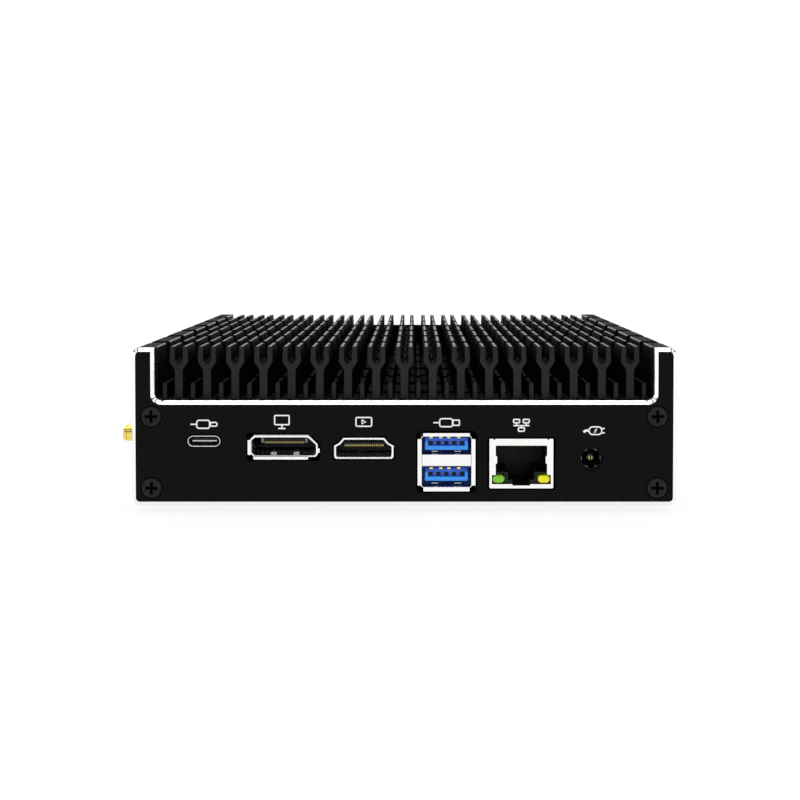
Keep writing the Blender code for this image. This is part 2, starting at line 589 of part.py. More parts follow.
def make_antennas(gold, black):
    """Bulkhead jacks that point to -X, with their nuts, and the leads from them to the wireless card."""
    bore_floor, step = JACK_REACH - 1.9, JACK_REACH - 0.9
    shoulder, tail, end = -3.8, -5.6, -9.0
    profile = [(0, bore_floor), (JACK_BORE, bore_floor), (JACK_BORE, JACK_REACH), (JACK_TIP, JACK_REACH)]
    profile += [(JACK_TIP, step), (JACK_RADIUS, step - 0.3), (JACK_RADIUS, shoulder)]
    profile += [(JACK_SHOULDER, shoulder), (JACK_SHOULDER, tail), (JACK_TAIL, tail)]
    profile += [(JACK_TAIL, end), (0, end)]
    profile = [(radius, -w) for radius, w in profile]
    hexagon = polygon(NUT_ACROSS / 2 / math.cos(math.pi / 6), 6)
    for number, y in enumerate(ANTENNA_YS, 1):
        at = (-HALF_WIDTH, y, ANTENNA_LEVEL)
        turned(f"antenna_jack_{number}", profile, "X", gold, at)
        nut = prism(f"antenna_nut_{number}", hexagon, "X", -NUT_THICKNESS, -GAP, gold, at)
        hole = bmesh.new()
        add_cylinder(hole, "X", 0, 0, -4, 1, JACK_RADIUS + GAP)
        boolean(nut, hole)

    start, level, card = -HALF_WIDTH - end + GAP, ANTENNA_LEVEL, CARD_BOTTOM - 2.9
    first = [(start, -26), (-55, -25.5), (-51.5, -18), (-50, -2), (-49, 14), (-46.5, 24)]
    second = [(start, 30), (-55, 30.5), (-51, 32), (-46.5, 31)]
    for number, flat, last in ((1, first, (-43, 27.5)), (2, second, (-43, 31.5))):
        route = [(x, y, level) for x, y in flat] + [(*last, card)]
        wire(f"antenna_lead_{number}", smooth_route(route, 4), LEAD_RADIUS, 2, black)


# Button panel


def make_button(black, steel, plastic):
    """The power button, pushed along -Y against its spring, in a bezel that goes through the panel."""
    at = (BUTTON[0], HALF_DEPTH, BUTTON[1])
    front, back = 1.3, -6.0
    bezel = [(BEZEL_BORE, front), (BEZEL_FLANGE - 0.4, front), (BEZEL_FLANGE, front - 0.4)]
    bezel += [(BEZEL_FLANGE, GAP), (BEZEL_RADIUS, GAP), (BEZEL_RADIUS, back), (2.0, back), (2.0, back + 1)]
    bezel += [(BEZEL_BORE, back + 1), (BEZEL_BORE, front)]
    turned("power_button_bezel", bezel, "Y", black, at, 24)
    cap = [(0, 1.8), (BUTTON_RADIUS - 0.4, 1.8), (BUTTON_RADIUS, 1.4), (BUTTON_RADIUS, -1.2)]
    turned("power_button", cap + [(1.5, -1.2), (1.5, -6.3), (0, -6.3)], "Y", steel, at, 24)

    start, end = SPRING_ENDS
    per_turn = 10
    steps = per_turn * SPRING_TURNS
    coil = []
    for i in range(steps + 1):
        angle = 2 * math.pi * i / per_turn
        x, z = BUTTON[0] + SPRING_RADIUS * math.cos(angle), BUTTON[1] + SPRING_RADIUS * math.sin(angle)
        coil.append((x, HALF_DEPTH + start + (end - start) * i / steps, z))
    wire("power_button_spring", coil, SPRING_WIRE, 1, steel)

    switch = prism("power_switch", rectangle(0, 1.5, 6, 9), "Y", -13, -8.6, plastic, at)
    plunger = bmesh.new()
    add_cylinder(plunger, "Y", 0, 0, -10, -7.7, 1.3, 12)
    boolean(switch, plunger, "UNION")


def make_light_and_audio(lens, plastic):
    at = (STATUS_LIGHT[0], HALF_DEPTH, STATUS_LIGHT[1])
    profile = [(0, 0.3), (LIGHT_RADIUS - 0.4, 0.3), (LIGHT_RADIUS, 0), (LIGHT_RADIUS, -7), (0, -7)]
    turned("status_light_pipe", profile, "Y", lens, at)
    at = (AUDIO[0], HALF_DEPTH, AUDIO[1])
    jack = prism("audio_jack", rectangle(0, 0.8, 7.0, 7.6), "Y", -15, -PANEL - GAP, plastic, at)
    collar, bore = bmesh.new(), bmesh.new()
    add_cylinder(collar, "Y", 0, 0, -PANEL - 1, 0.4, AUDIO_RADIUS, 20)
    add_cylinder(bore, "Y", 0, 0, -13, 1, AUDIO_BORE, 16)
    boolean(boolean(jack, collar, "UNION"), bore)


def make_panels(aluminium):
    """Both end panels. Each port's opening leaves a gap round its shell."""
    gap = 0.35
    display = [(-9.3, -3.5, 0.8), (9.2, -3.5, 0.8), (9.2, 0.95, 0), (6.5, 3.55, 0), (-9.3, 3.55, 0.8)]
    video = mirror_points([(7.85, -3.05), (7.85, 0.95), (6.4, 1.8), (5.4, 3.05)])
    usb_stack = rectangle(0, 0, 15.4, 15.4, 0.8)
    io_openings = [
        rectangle(*USB_C, 9.6, 3.9, 1.9),
        moved(rounded(display), DISPLAY),
        moved(video, VIDEO),
        moved(usb_stack, USB_STACK),
        rectangle(*ETHERNET, 16.9, 13.1, 0.5),
        moved(polygon(COLLAR_RADIUS + gap, 24), POWER_INLET),
    ]
    button_openings = [
        moved(polygon(BEZEL_RADIUS + gap, 24), BUTTON),
        moved(polygon(LIGHT_RADIUS + gap, 16), STATUS_LIGHT),
        moved(polygon(AUDIO_RADIUS + gap, 24), AUDIO),
        moved(usb_stack, REAR_USB),
    ]
    make_panel("io_panel", FIN_FLOOR + 0.1, -HALF_DEPTH, 1, io_openings, aluminium)
    make_panel("button_panel", REAR_NOTCH, HALF_DEPTH, -1, button_openings, aluminium)


def main():
    for obj in list(bpy.data.objects):
        bpy.data.objects.remove(obj, do_unlink=True)
    aluminium = finish("black_anodised", (0.02, 0.02, 0.021), 0.45, 0.6)
    black_steel = finish("black_steel", (0.03, 0.03, 0.03), 0.4, 0.8)
    steel = finish("plated_steel", (0.75, 0.75, 0.74), 0.25, 1.0)
    gold = finish("gold_plate", (0.83, 0.62, 0.2), 0.25, 1.0)
    rubber = finish("rubber", (0.02, 0.02, 0.02), 0.8)
    plastic = finish("black_plastic", (0.015, 0.015, 0.016), 0.5)
    blue = finish("blue_plastic", (0.02, 0.12, 0.65), 0.4)
    green = finish("solder_mask", (0.01, 0.1, 0.04), 0.4)
    silicon = finish("silicon", (0.08, 0.09, 0.11), 0.2, 0.3)
    pad = finish("silicone_pad", (0.35, 0.4, 0.5), 0.7)
    green_lens = finish("green_lens", (0.3, 0.7, 0.1), 0.2)
    yellow_lens = finish("yellow_lens", (0.95, 0.8, 0.05), 0.2)
    white_lens = finish("white_lens", (0.8, 0.8, 0.8), 0.2)
    make_case(aluminium)
    make_panels(aluminium)
    make_cover(aluminium)
    make_fasteners(black_steel, steel, rubber)
    make_board(green, silicon, pad, plastic, steel)
    make_usb_c(steel, plastic)
    make_display_port(steel, plastic)
    make_video_port(steel, plastic)
    make_usb_stack("usb_stack", USB_STACK, steel, blue, 1)
    make_usb_stack("rear_usb_stack", REAR_USB, steel, plastic, -1)
    make_ethernet(steel, plastic, green_lens, yellow_lens)
    make_power_inlet(plastic, gold)
    make_antennas(gold, plastic)
    make_button(aluminium, steel, plastic)
    make_light_and_audio(white_lens, plastic)


main()
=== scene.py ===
"""The looks of the fanless mini PC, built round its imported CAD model.

All sizes are in millimetres, and MM turns them into Blender's metres. A piece's place comes from the box
of the CAD node that it stands for. The port panel faces -Y and the camera, and +Z is up. Each port is
drawn round its own middle, with +Y going into the case."""

import math

import bmesh
import bpy
from mathutils import Euler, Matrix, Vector


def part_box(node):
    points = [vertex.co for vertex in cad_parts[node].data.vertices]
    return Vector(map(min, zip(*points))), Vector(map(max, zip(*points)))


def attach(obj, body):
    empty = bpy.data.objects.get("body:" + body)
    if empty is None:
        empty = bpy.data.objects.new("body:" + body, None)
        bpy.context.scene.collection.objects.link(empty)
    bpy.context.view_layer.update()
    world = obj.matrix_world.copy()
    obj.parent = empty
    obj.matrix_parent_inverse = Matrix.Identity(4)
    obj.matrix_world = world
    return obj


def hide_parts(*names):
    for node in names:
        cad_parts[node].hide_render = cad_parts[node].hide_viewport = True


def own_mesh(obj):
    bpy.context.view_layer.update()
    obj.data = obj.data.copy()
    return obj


MM = 0.001
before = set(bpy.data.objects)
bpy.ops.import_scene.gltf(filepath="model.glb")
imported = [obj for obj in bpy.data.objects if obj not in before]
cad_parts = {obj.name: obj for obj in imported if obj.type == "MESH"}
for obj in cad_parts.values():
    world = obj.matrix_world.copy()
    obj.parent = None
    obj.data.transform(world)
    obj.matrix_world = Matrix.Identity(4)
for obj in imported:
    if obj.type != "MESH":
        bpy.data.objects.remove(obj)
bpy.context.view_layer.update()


def corners_of(node):
    """The lowest and highest corner of a CAD node, in millimetres."""
    return [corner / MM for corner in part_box(node)]


def middle_of(node):
    low, high = corners_of(node)
    return (low + high) / 2


# The case, from the CAD model's boxes
PANEL_LOW, PANEL_HIGH = corners_of("io_panel")
CASE_LOW, CASE_HIGH = corners_of("heatsink_case")
FRONT, BACK = PANEL_LOW.y, corners_of("button_panel")[1].y  # outer faces of the two panels
HALF_WIDTH, HEIGHT = PANEL_HIGH.x, PANEL_HIGH.z
PANEL = PANEL_HIGH.y - PANEL_LOW.y
CORNER = 2.0  # radius of the case's long outer corners
EDGE_CUT, EDGE_DEPTH = 1.0, 0.84  # bright chamfer round both panels
GAP = 0.3  # left between pieces that touch
SOFT_EDGE = 0.12  # rounding of a machined edge

# The heat sink's section, as in the CAD model but with its edges rounded
WALL_INSIDE, CEILING = 64.5, 22.3
LEDGE_INSIDE, LEDGE_TOP, COVER = 58.5, 7.0, 2.0
FIN_FLOOR, FIN_EDGE = 26.2, 62.2
FIN_PITCH, FIN_PAIRS = 7.1, 8
STEM_HALF, STEM_TOP = 1.0, 33.6
KNEE_HALF, KNEE_LEVEL = 2.35, 35.6
ARM_HALF, FORK_HALF, FORK_SHOULDER, FORK_BOTTOM = 2.15, 1.0, 35.9, 34.7
ARM_MIDDLE = (ARM_HALF + FORK_HALF) / 2
HIGHLIGHT_STRIP_HALF = 0.25  # half the width of the painted highlight strip on top of each arm
RIB_HALF, RIB_TOP = 0.55, 30.3
SLOT_WIDTH, SLOT_PITCH, SLOT_COUNT, SLOT_FLOOR = 4.5, 18.7, 6, 25.6
GROOVE_LEVELS, GROOVE_HEIGHT, GROOVE_DEPTH = (28.9, 33.1), 1.5, 0.4
REAR_NOTCH = 35.8
WALL_EDGE = 0.35  # rounding of a side wall's inner top edge

# Screws
HEAD_RADIUS, HEAD_HEIGHT, SHANK_RADIUS = 2.5, 1.5, 1.2
RECESS_REACH, RECESS_HALF, RECESS_DEPTH = 1.6, 0.38, 1.1
PANEL_SCREW_X, PANEL_SCREW_LEVELS = 63.1, (4.4, 22.3)

# Ports
PROUD = -0.2  # the foremost faces of the ports, ahead of the panel by this much
INK_RADIUS, INK_FLATNESS = 0.18, 0.12


# Materials


class Shader:
    """A Principled material whose nodes are driven by the piece's own coordinates."""

    def __init__(self, name, color, roughness, metallic=0.0, **sockets):
        self.material = bpy.data.materials.new(name)
        self.material.use_nodes = True
        self.nodes = self.material.node_tree.nodes
        self.links = self.material.node_tree.links
        self.principled = self.nodes["Principled BSDF"]
        self.color, self.roughness = color, roughness
        settings = {"Base Color": (*color, 1.0), "Roughness": roughness, "Metallic": metallic}
        for key, value in sockets.items():
            settings[key.replace("_", " ").title().replace("Ior", "IOR")] = value
        for socket, value in settings.items():
            self.principled.inputs[socket].default_value = value
        self.position = self.nodes.new("ShaderNodeTexCoord").outputs["Object"]

    def noise(self, size, stretch=(1, 1, 1), detail=3.0):
        """Noise with features of this size in millimetres, drawn out along an axis by its stretch."""
        mapping = self.nodes.new("ShaderNodeMapping")
        mapping.inputs["Scale"].default_value = [1 / s for s in stretch]
        texture = self.nodes.new("ShaderNodeTexNoise")
        texture.inputs["Scale"].default_value = 1 / (size * MM)
        texture.inputs["Detail"].default_value = detail
        self.links.new(self.position, mapping.inputs["Vector"])
        self.links.new(mapping.outputs["Vector"], texture.inputs["Vector"])
        return texture.outputs["Fac"]

    def spread(self, value, low, high):
        """The value's middle part spread from low to high."""
        spread = self.nodes.new("ShaderNodeMapRange")
        spread.inputs["From Min"].default_value = 0.3
        spread.inputs["From Max"].default_value = 0.7
        spread.inputs["To Min"].default_value = low
        spread.inputs["To Max"].default_value = high
        self.links.new(value, spread.inputs["Value"])
        return spread.outputs["Result"]

    def vary_roughness(self, value, amount):
        low, high = self.roughness - amount, self.roughness + amount
        self.links.new(self.spread(value, low, high), self.principled.inputs["Roughness"])
        return self

    def vary_color(self, value, other):
        mix = self.nodes.new("ShaderNodeMix")
        mix.data_type = "RGBA"
        mix.inputs["A"].default_value = (*self.color, 1.0)
        mix.inputs["B"].default_value = (*other, 1.0)
        self.links.new(self.spread(value, 0.0, 1.0), mix.inputs["Factor"])
        self.links.new(mix.outputs["Result"], self.principled.inputs["Base Color"])
        return self

    def relief(self, value, height, strength=1.0):
        """Bumps of this height in millimetres."""
        bump = self.nodes.new("ShaderNodeBump")
        bump.inputs["Strength"].default_value = strength
        bump.inputs["Distance"].default_value = height * MM
        self.links.new(value, bump.inputs["Height"])
        self.links.new(bump.outputs["Normal"], self.principled.inputs["Normal"])
        return self


def tinted(color, factor):
    return tuple(min(1.0, channel * factor) for channel in color)


def blasted_metal(name, color, roughness, specular):
    """Bead-blasted and anodised aluminium: a fine even grain."""
    shader = Shader(name, color, roughness, specular_ior_level=specular)
    grain = shader.noise(0.16, detail=2)
    shader.vary_color(shader.noise(9), tinted(color, 1.35)).vary_roughness(grain, 0.05)
    return shader.relief(grain, 0.006).material


def drawn_metal(name, color, roughness, specular, along):
    """Extruded and anodised aluminium: faint lines along the way it was drawn."""
    shader = Shader(name, color, roughness, specular_ior_level=specular)
    lines = shader.noise(0.25, along, detail=4)
    shader.vary_color(lines, tinted(color, 1.5)).vary_roughness(shader.noise(3), 0.05)
    return shader.relief(lines, 0.006).material


def cut_metal(name, color, roughness, size, stretch, height):
    """Bare metal with the marks of the tool that cut, stamped or polished it."""
    shader = Shader(name, color, roughness, 1.0)
    marks = shader.noise(size, stretch, detail=3)
    shader.vary_color(shader.noise(size * 6), tinted(color, 0.94)).vary_roughness(marks, roughness * 0.35)
    return shader.relief(marks, height).material


def moulded(name, color, roughness, grain=0.2, height=0.004, **sockets):
    """Moulded plastic or rubber with a fine surface grain."""
    shader = Shader(name, color, roughness, **sockets)
    texture = shader.noise(grain)
    shader.vary_color(shader.noise(grain * 12), tinted(color, 1.25)).vary_roughness(texture, 0.06)
    return shader.relief(texture, height).material


def solder_mask():
    """Green lacquer over copper tracks, which show as paler raised lines."""
    shader = Shader("solder_mask", (0.008, 0.07, 0.03), 0.3, coat_weight=0.3)
    tracks = shader.nodes.new("ShaderNodeTexBrick")
    tracks.inputs["Scale"].default_value = 1 / (4 * MM)
    tracks.inputs["Mortar Size"].default_value = 0.012
    shader.links.new(shader.position, tracks.inputs["Vector"])
    shader.vary_color(tracks.outputs["Fac"], (0.02, 0.16, 0.06)).relief(tracks.outputs["Fac"], 0.03)
    return shader.material


def plain(name, color, glow):
    """The studio's paper, lit from behind as a light table is."""
    shader = Shader(
        name, color, 0.9, specular_ior_level=0.1, emission_color=(1, 1, 1, 1), emission_strength=glow
    )
    return shader.vary_color(shader.noise(60), tinted(color, 0.985)).material


ALONG_Y = (1, 60, 1)
ANODISED = blasted_metal("black_anodised_plate", (0.0028, 0.0028, 0.003), 0.42, 0.06)
FINS = drawn_metal("black_anodised_extrusion", (0.003, 0.003, 0.0032), 0.6, 0.03, ALONG_Y)
# Painted highlight: a lighter, glossier copy of the black extrusion, laid on a strip along the top of each
# arm and on the walls' inner top edges
PAINTED_HIGHLIGHT_TOPS = drawn_metal("black_anodised_painted_highlight", (0.04, 0.04, 0.041), 0.35, 0.5, ALONG_Y)
SAWN = blasted_metal("black_anodised_cut_end", (0.012, 0.012, 0.0125), 0.5, 0.18)
BRIGHT = cut_metal("bright_cut_aluminium", (0.96, 0.96, 0.97), 0.15, 0.3, (8, 8, 8), 0.001)
NICKEL = cut_metal("nickel_plate", (0.95, 0.95, 0.94), 0.24, 0.5, (1, 6, 1), 0.0007)
ZINC = cut_metal("zinc_plate", (0.62, 0.62, 0.6), 0.35, 0.4, (1, 1, 1), 0.003)
GOLD = cut_metal("gold_plate", (0.88, 0.68, 0.17), 0.22, 0.4, (1, 1, 1), 0.002)
BLACK_STEEL = Shader("black_oxide_steel", (0.006, 0.006, 0.0065), 0.45, specular_ior_level=0.22)
BLACK_STEEL = BLACK_STEEL.vary_roughness(BLACK_STEEL.noise(0.4), 0.1).material
# Painted shade: a near-black, dull copy of the screws' black oxide for the inside of the cross recess
PAINTED_SHADE_RECESS = blasted_metal("screw_recess_painted_shade", (0.001, 0.001, 0.001), 0.7, 0.02)
DULL = cut_metal("dull_tin", (0.2, 0.2, 0.21), 0.5, 0.3, (1, 1, 1), 0.003)
# Painted shade: gold dimmed to stand for the shade on contacts deep in the sockets and on the inlet's pin;
# the USB stacks' shell seams reuse it
SHADE_DIMMED_GOLD = cut_metal("gold_dimmed_as_painted_shade", (0.4, 0.33, 0.12), 0.4, 0.3, (1, 1, 1), 0.003)
PLASTIC = moulded("black_plastic", (0.0045, 0.0045, 0.005), 0.5, specular_ior_level=0.25)
BLUE = moulded("blue_plastic", (0.004, 0.10, 0.58), 0.35)
# Painted highlight: a brighter copy of the same blue plastic for the tongues' front lips, where the light
# falls
BLUE_PAINTED_LIT_LIP = moulded("blue_plastic_painted_lit_lip", (0.02, 0.28, 1.0), 0.3)
WHITE_PLASTIC = moulded("white_plastic", (0.8, 0.8, 0.77), 0.4)
RUBBER = moulded("rubber", (0.012, 0.012, 0.012), 0.78, 0.35, 0.01)
PRINT = moulded("white_print", (0.86, 0.86, 0.85), 0.55, 0.1, 0.002)
GREEN_LENS = moulded("green_lens", (0.19, 0.52, 0.03), 0.2, 0.8, 0.003, specular_ior_level=0.4)
YELLOW_LENS = moulded("yellow_lens", (0.86, 0.8, 0.01), 0.2, 0.8, 0.003, specular_ior_level=0.4)
FROSTED = {"coat_weight": 0.6, "subsurface_weight": 0.4}
CLEAR_LENS = moulded("clear_lens", (0.75, 0.78, 0.8), 0.15, 0.8, 0.002, **FROSTED)
BOARD = solder_mask()
SILICON = cut_metal("silicon", (0.2, 0.22, 0.27), 0.16, 2.0, (1, 1, 1), 0.0005)
PAD = moulded("silicone_pad", (0.3, 0.36, 0.5), 0.7, 0.5, 0.01)


# Outlines and solids, drawn in millimetres


def place(axis, u, v, w):
    """The point (u, v) of an outline, at w along the axis that the outline is drawn on."""
    point = {"X": (w, u, v), "Y": (u, w, v), "Z": (u, v, w)}[axis]
    return Vector(point) * MM


def rounded(corners, steps=5):
    """The outline through (u, v, radius) corners, with an arc at each that has a radius."""
    outline = []
    for i, (u, v, radius) in enumerate(corners):
        corner = Vector((u, v))
        if not radius:
            outline.append(corner)
            continue
        back = (Vector(corners[i - 1][:2]) - corner).normalized()
        ahead = (Vector(corners[(i + 1) % len(corners)][:2]) - corner).normalized()
        half_angle = back.angle(ahead) / 2
        centre = corner + (back + ahead).normalized() * radius / math.sin(half_angle)
        start = corner + back * radius / math.tan(half_angle) - centre
        end = corner + ahead * radius / math.tan(half_angle) - centre
        for step in range(steps + 1):
            outline.append(centre + start.lerp(end, step / steps).normalized() * radius)
    return outline


def rectangle(u, v, width, height, radius=0.0, steps=5):
    sides = ((-1, -1), (1, -1), (1, 1), (-1, 1))
    return rounded([(u + a * width / 2, v + b * height / 2, radius) for a, b in sides], steps)


def mirrored(half):
    """A closed list of (u, v, radius) corners from its right half."""
    return half + [(-u, v, radius) for u, v, radius in reversed(half)]


def polygon(radius, sides, centre=(0.0, 0.0), first_angle=0.0):
    angles = [first_angle + 2 * math.pi * i / sides for i in range(sides)]
    return [Vector((centre[0] + radius * math.cos(a), centre[1] + radius * math.sin(a))) for a in angles]


def add_loops(bm, loops, axis, closed=False):
    """Skins (outline, w) loops that have the same number of points. The ends are capped, unless the skin is
    closed by joining the last loop to the first."""
    rings = [[bm.verts.new(place(axis, u, v, w)) for u, v in outline] for outline, w in loops]
    pairs = list(zip(rings, rings[1:]))
    if closed:
        pairs.append((rings[-1], rings[0]))
    else:
        bm.faces.new(rings[0])
        bm.faces.new(rings[-1])
    for low, high in pairs:
        for i in range(len(low)):
            bm.faces.new((low[i - 1], low[i], high[i], high[i - 1]))


def add_prism(bm, outline, axis, start, end):
    add_loops(bm, [(outline, start), (outline, end)], axis)


def add_tube(bm, outer, inner, axis, start, end, lip=0.0):
    """A tube between two outlines with as many points each. The lip rounds its front edge."""
    loops = [(outer, start + lip), (outer, end), (inner, end), (inner, start + lip)]
    if lip:
        rim = [a.lerp(b, 0.25) for a, b in zip(outer, inner)]
        inner_rim = [a.lerp(b, 0.75) for a, b in zip(outer, inner)]
        loops += [(inner_rim, start), (rim, start)]
    add_loops(bm, loops, axis, closed=True)


def add_box(bm, low, high):
    width, depth = high[0] - low[0], high[1] - low[1]
    outline = rectangle((low[0] + high[0]) / 2, (low[1] + high[1]) / 2, width, depth)
    add_prism(bm, outline, "Z", low[2], high[2])


def add_turned(bm, profile, axis, u=0.0, v=0.0, steps=32):
    """Turns a profile of (radius, w) points about the axis through (u, v). Its ends lie on the axis, or its
    last point repeats its first, which makes a ring."""
    ring = profile[0] == profile[-1] and profile[0][0] > 0
    points = profile[:-1] if ring else profile
    verts = [bm.verts.new(place(axis, u + radius, v, w)) for radius, w in points]
    edges = [bm.edges.new(pair) for pair in zip(verts, verts[1:])]
    if ring:
        edges.append(bm.edges.new((verts[-1], verts[0])))
    turn = place(axis, 0, 0, 1).normalized()
    spin = {"cent": place(axis, u, v, 0), "axis": turn, "angle": 2 * math.pi, "steps": steps}
    bmesh.ops.spin(bm, geom=verts + edges, **spin)
    bmesh.ops.remove_doubles(bm, verts=bm.verts, dist=1e-7)


def add_cylinder(bm, axis, u, v, start, end, radius, steps=32):
    add_turned(bm, [(0, start), (radius, start), (radius, end), (0, end)], axis, u, v, steps)


def new_mesh(name, bm):
    bmesh.ops.recalc_face_normals(bm, faces=bm.faces)
    mesh = bpy.data.meshes.new(name)
    bm.to_mesh(mesh)
    bm.free()
    return mesh


def smooth(mesh, angle=32):
    mesh.shade_smooth()
    mesh.set_sharp_from_angle(angle=math.radians(angle))


def evaluated_mesh(obj):
    bpy.context.view_layer.update()
    return bpy.data.meshes.new_from_object(obj.evaluated_get(bpy.context.evaluated_depsgraph_get()))


def boolean(obj, bm, operation="DIFFERENCE"):
    """Cuts the mesh from the object, or joins it on. The mesh is drawn round the object's own origin."""
    helper = bpy.data.objects.new("helper", new_mesh("helper", bm))
    helper.matrix_world = obj.matrix_world
    bpy.context.collection.objects.link(helper)
    modifier = obj.modifiers.new("boolean", "BOOLEAN")
    modifier.operation = operation
    modifier.solver = "EXACT"
    modifier.object = helper
    obj.data = evaluated_mesh(obj)
    obj.modifiers.clear()
    bpy.data.objects.remove(helper)
    smooth(obj.data)
    return obj


def soften(obj, width=SOFT_EDGE, segments=2, angle=40):
    """Rounds the object's sharp edges."""
    modifier = obj.modifiers.new("soft_edges", "BEVEL")
    modifier.width = width * MM
    modifier.segments = segments
    modifier.limit_method = "ANGLE"
    modifier.angle_limit = math.radians(angle)
    modifier.harden_normals = True
    return obj


class Spot:
    """A place to build at: a point of the frame, and the turn of what is drawn there."""

    def __init__(self, x, y, z, turn=(0, 0, 0)):
        self.at, self.turn = Vector((x, y, z)), turn


def on_front(node, z=None):
    """The spot on the port panel's outer face in front of a node. What is drawn there has +Y going in."""
    middle = middle_of(node)
    return Spot(middle.x, FRONT, middle.z if z is None else z)


def on_back(node, z=None):
    """The same on the button panel's outer face, where +Y also goes in."""
    middle = middle_of(node)
    return Spot(middle.x, BACK, middle.z if z is None else z, (0, 0, math.pi))


HERE = Spot(0, 0, 0)


def piece(name, bm, materials, spot=HERE, nodes=(), body="case"):
    """Makes a piece that rides on a body and stands for CAD nodes."""
    mesh = new_mesh(name, bm) if isinstance(bm, bmesh.types.BMesh) else bm
    if not mesh.materials:
        for material in materials if isinstance(materials, tuple) else (materials,):
            mesh.materials.append(material)
    smooth(mesh)
    obj = bpy.data.objects.new(name, mesh)
    obj.location = spot.at * MM
    obj.rotation_euler = spot.turn
    bpy.context.collection.objects.link(obj)
    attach(obj, body)
    if nodes:
        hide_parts(*([nodes] if isinstance(nodes, str) else nodes))
    return obj


def solid(name, outline, axis, start, end, material, spot=HERE, nodes=(), body="case"):
    bm = bmesh.new()
    add_prism(bm, outline, axis, start, end)
    return piece(name, bm, material, spot, nodes, body)


def wire(name, routes, radius, material, spot=HERE, flat=1.0, closed=False, body="case", resolution=3):
    """Round strokes along routes of (x, y, z) points, pressed flat along Y."""
    curve = bpy.data.curves.new(name, "CURVE")
    curve.dimensions = "3D"
    curve.bevel_depth = radius * MM
    curve.bevel_resolution = resolution
    curve.use_fill_caps = True
    for route in routes:
        spline = curve.splines.new("POLY")
        spline.points.add(len(route) - 1)
        spline.use_cyclic_u = closed
        for point, target in zip(spline.points, route):
            point.co = (*(Vector(target) * MM), 1)
    drawn = bpy.data.objects.new(name, curve)
    bpy.context.collection.objects.link(drawn)
    mesh = evaluated_mesh(drawn)
    bpy.data.objects.remove(drawn)
    for vert in mesh.vertices:
        vert.co.y *= flat
    return piece(name, mesh, material, spot, body=body)


# The case


def case_outline():
    """The heat-sink case's section, with the cavity for the mainboard."""
    fork = [(STEM_HALF, FIN_FLOOR, 0.5), (STEM_HALF, STEM_TOP, 1.2), (KNEE_HALF, KNEE_LEVEL, 0.8)]
    fork += [(ARM_HALF, HEIGHT, 0.12), (ARM_MIDDLE + HIGHLIGHT_STRIP_HALF, HEIGHT, 0)]
    fork += [(ARM_MIDDLE - HIGHLIGHT_STRIP_HALF, HEIGHT, 0), (FORK_HALF, HEIGHT, 0.12)]
    fork += [(FORK_HALF, FORK_SHOULDER, 0.5)]
    rib = [(RIB_HALF, FIN_FLOOR, 0.4), (RIB_HALF, RIB_TOP, 0.2)]
    outside = [(HALF_WIDTH, 0, 0.15)]
    for level in GROOVE_LEVELS:
        low, high = level - GROOVE_HEIGHT / 2, level + GROOVE_HEIGHT / 2
        inner = HALF_WIDTH - GROOVE_DEPTH
        groove = ((HALF_WIDTH, low), (inner, low), (inner, high), (HALF_WIDTH, high))
        outside += [(x, z, 0.1) for x, z in groove]
    outside += [(HALF_WIDTH, HEIGHT, CORNER), (FIN_EDGE, HEIGHT, WALL_EDGE), (FIN_EDGE, FIN_FLOOR, 0.8)]
    inside = [(WALL_INSIDE, 0, 0), (WALL_INSIDE, COVER + GAP, 0), (LEDGE_INSIDE, COVER + GAP, 0)]
    inside += [(LEDGE_INSIDE, LEDGE_TOP, 0), (WALL_INSIDE, LEDGE_TOP, 0), (WALL_INSIDE, 18, 0)]
    inside += [(60, 19.8, 0), (60, CEILING, 0)]
    outline = [(-x, z, radius) for x, z, radius in outside]
    for i in range(-2 * FIN_PAIRS - 1, 2 * FIN_PAIRS + 2):
        half = rib if i % 2 else fork
        centre = i * FIN_PITCH / 2
        outline += [(centre - x, z, radius) for x, z, radius in half]
        if not i % 2:
            outline.append((centre, FORK_BOTTOM, 0.4))
        outline += [(centre + x, z, radius) for x, z, radius in reversed(half)]
    outline += reversed(outside)
    return rounded(outline + inside + [(-x, z, radius) for x, z, radius in reversed(inside)], 3)


def add_corner_holes(bm, end):
    """Holes in the case for the screws of the panel at one end."""
    for x in (-PANEL_SCREW_X, PANEL_SCREW_X):
        for z in PANEL_SCREW_LEVELS:
            outer, inner = end * (CASE_HIGH.y + 1), end * (CASE_HIGH.y - 6)
            add_cylinder(bm, "Y", x, z, outer, inner, SHANK_RADIUS + GAP)


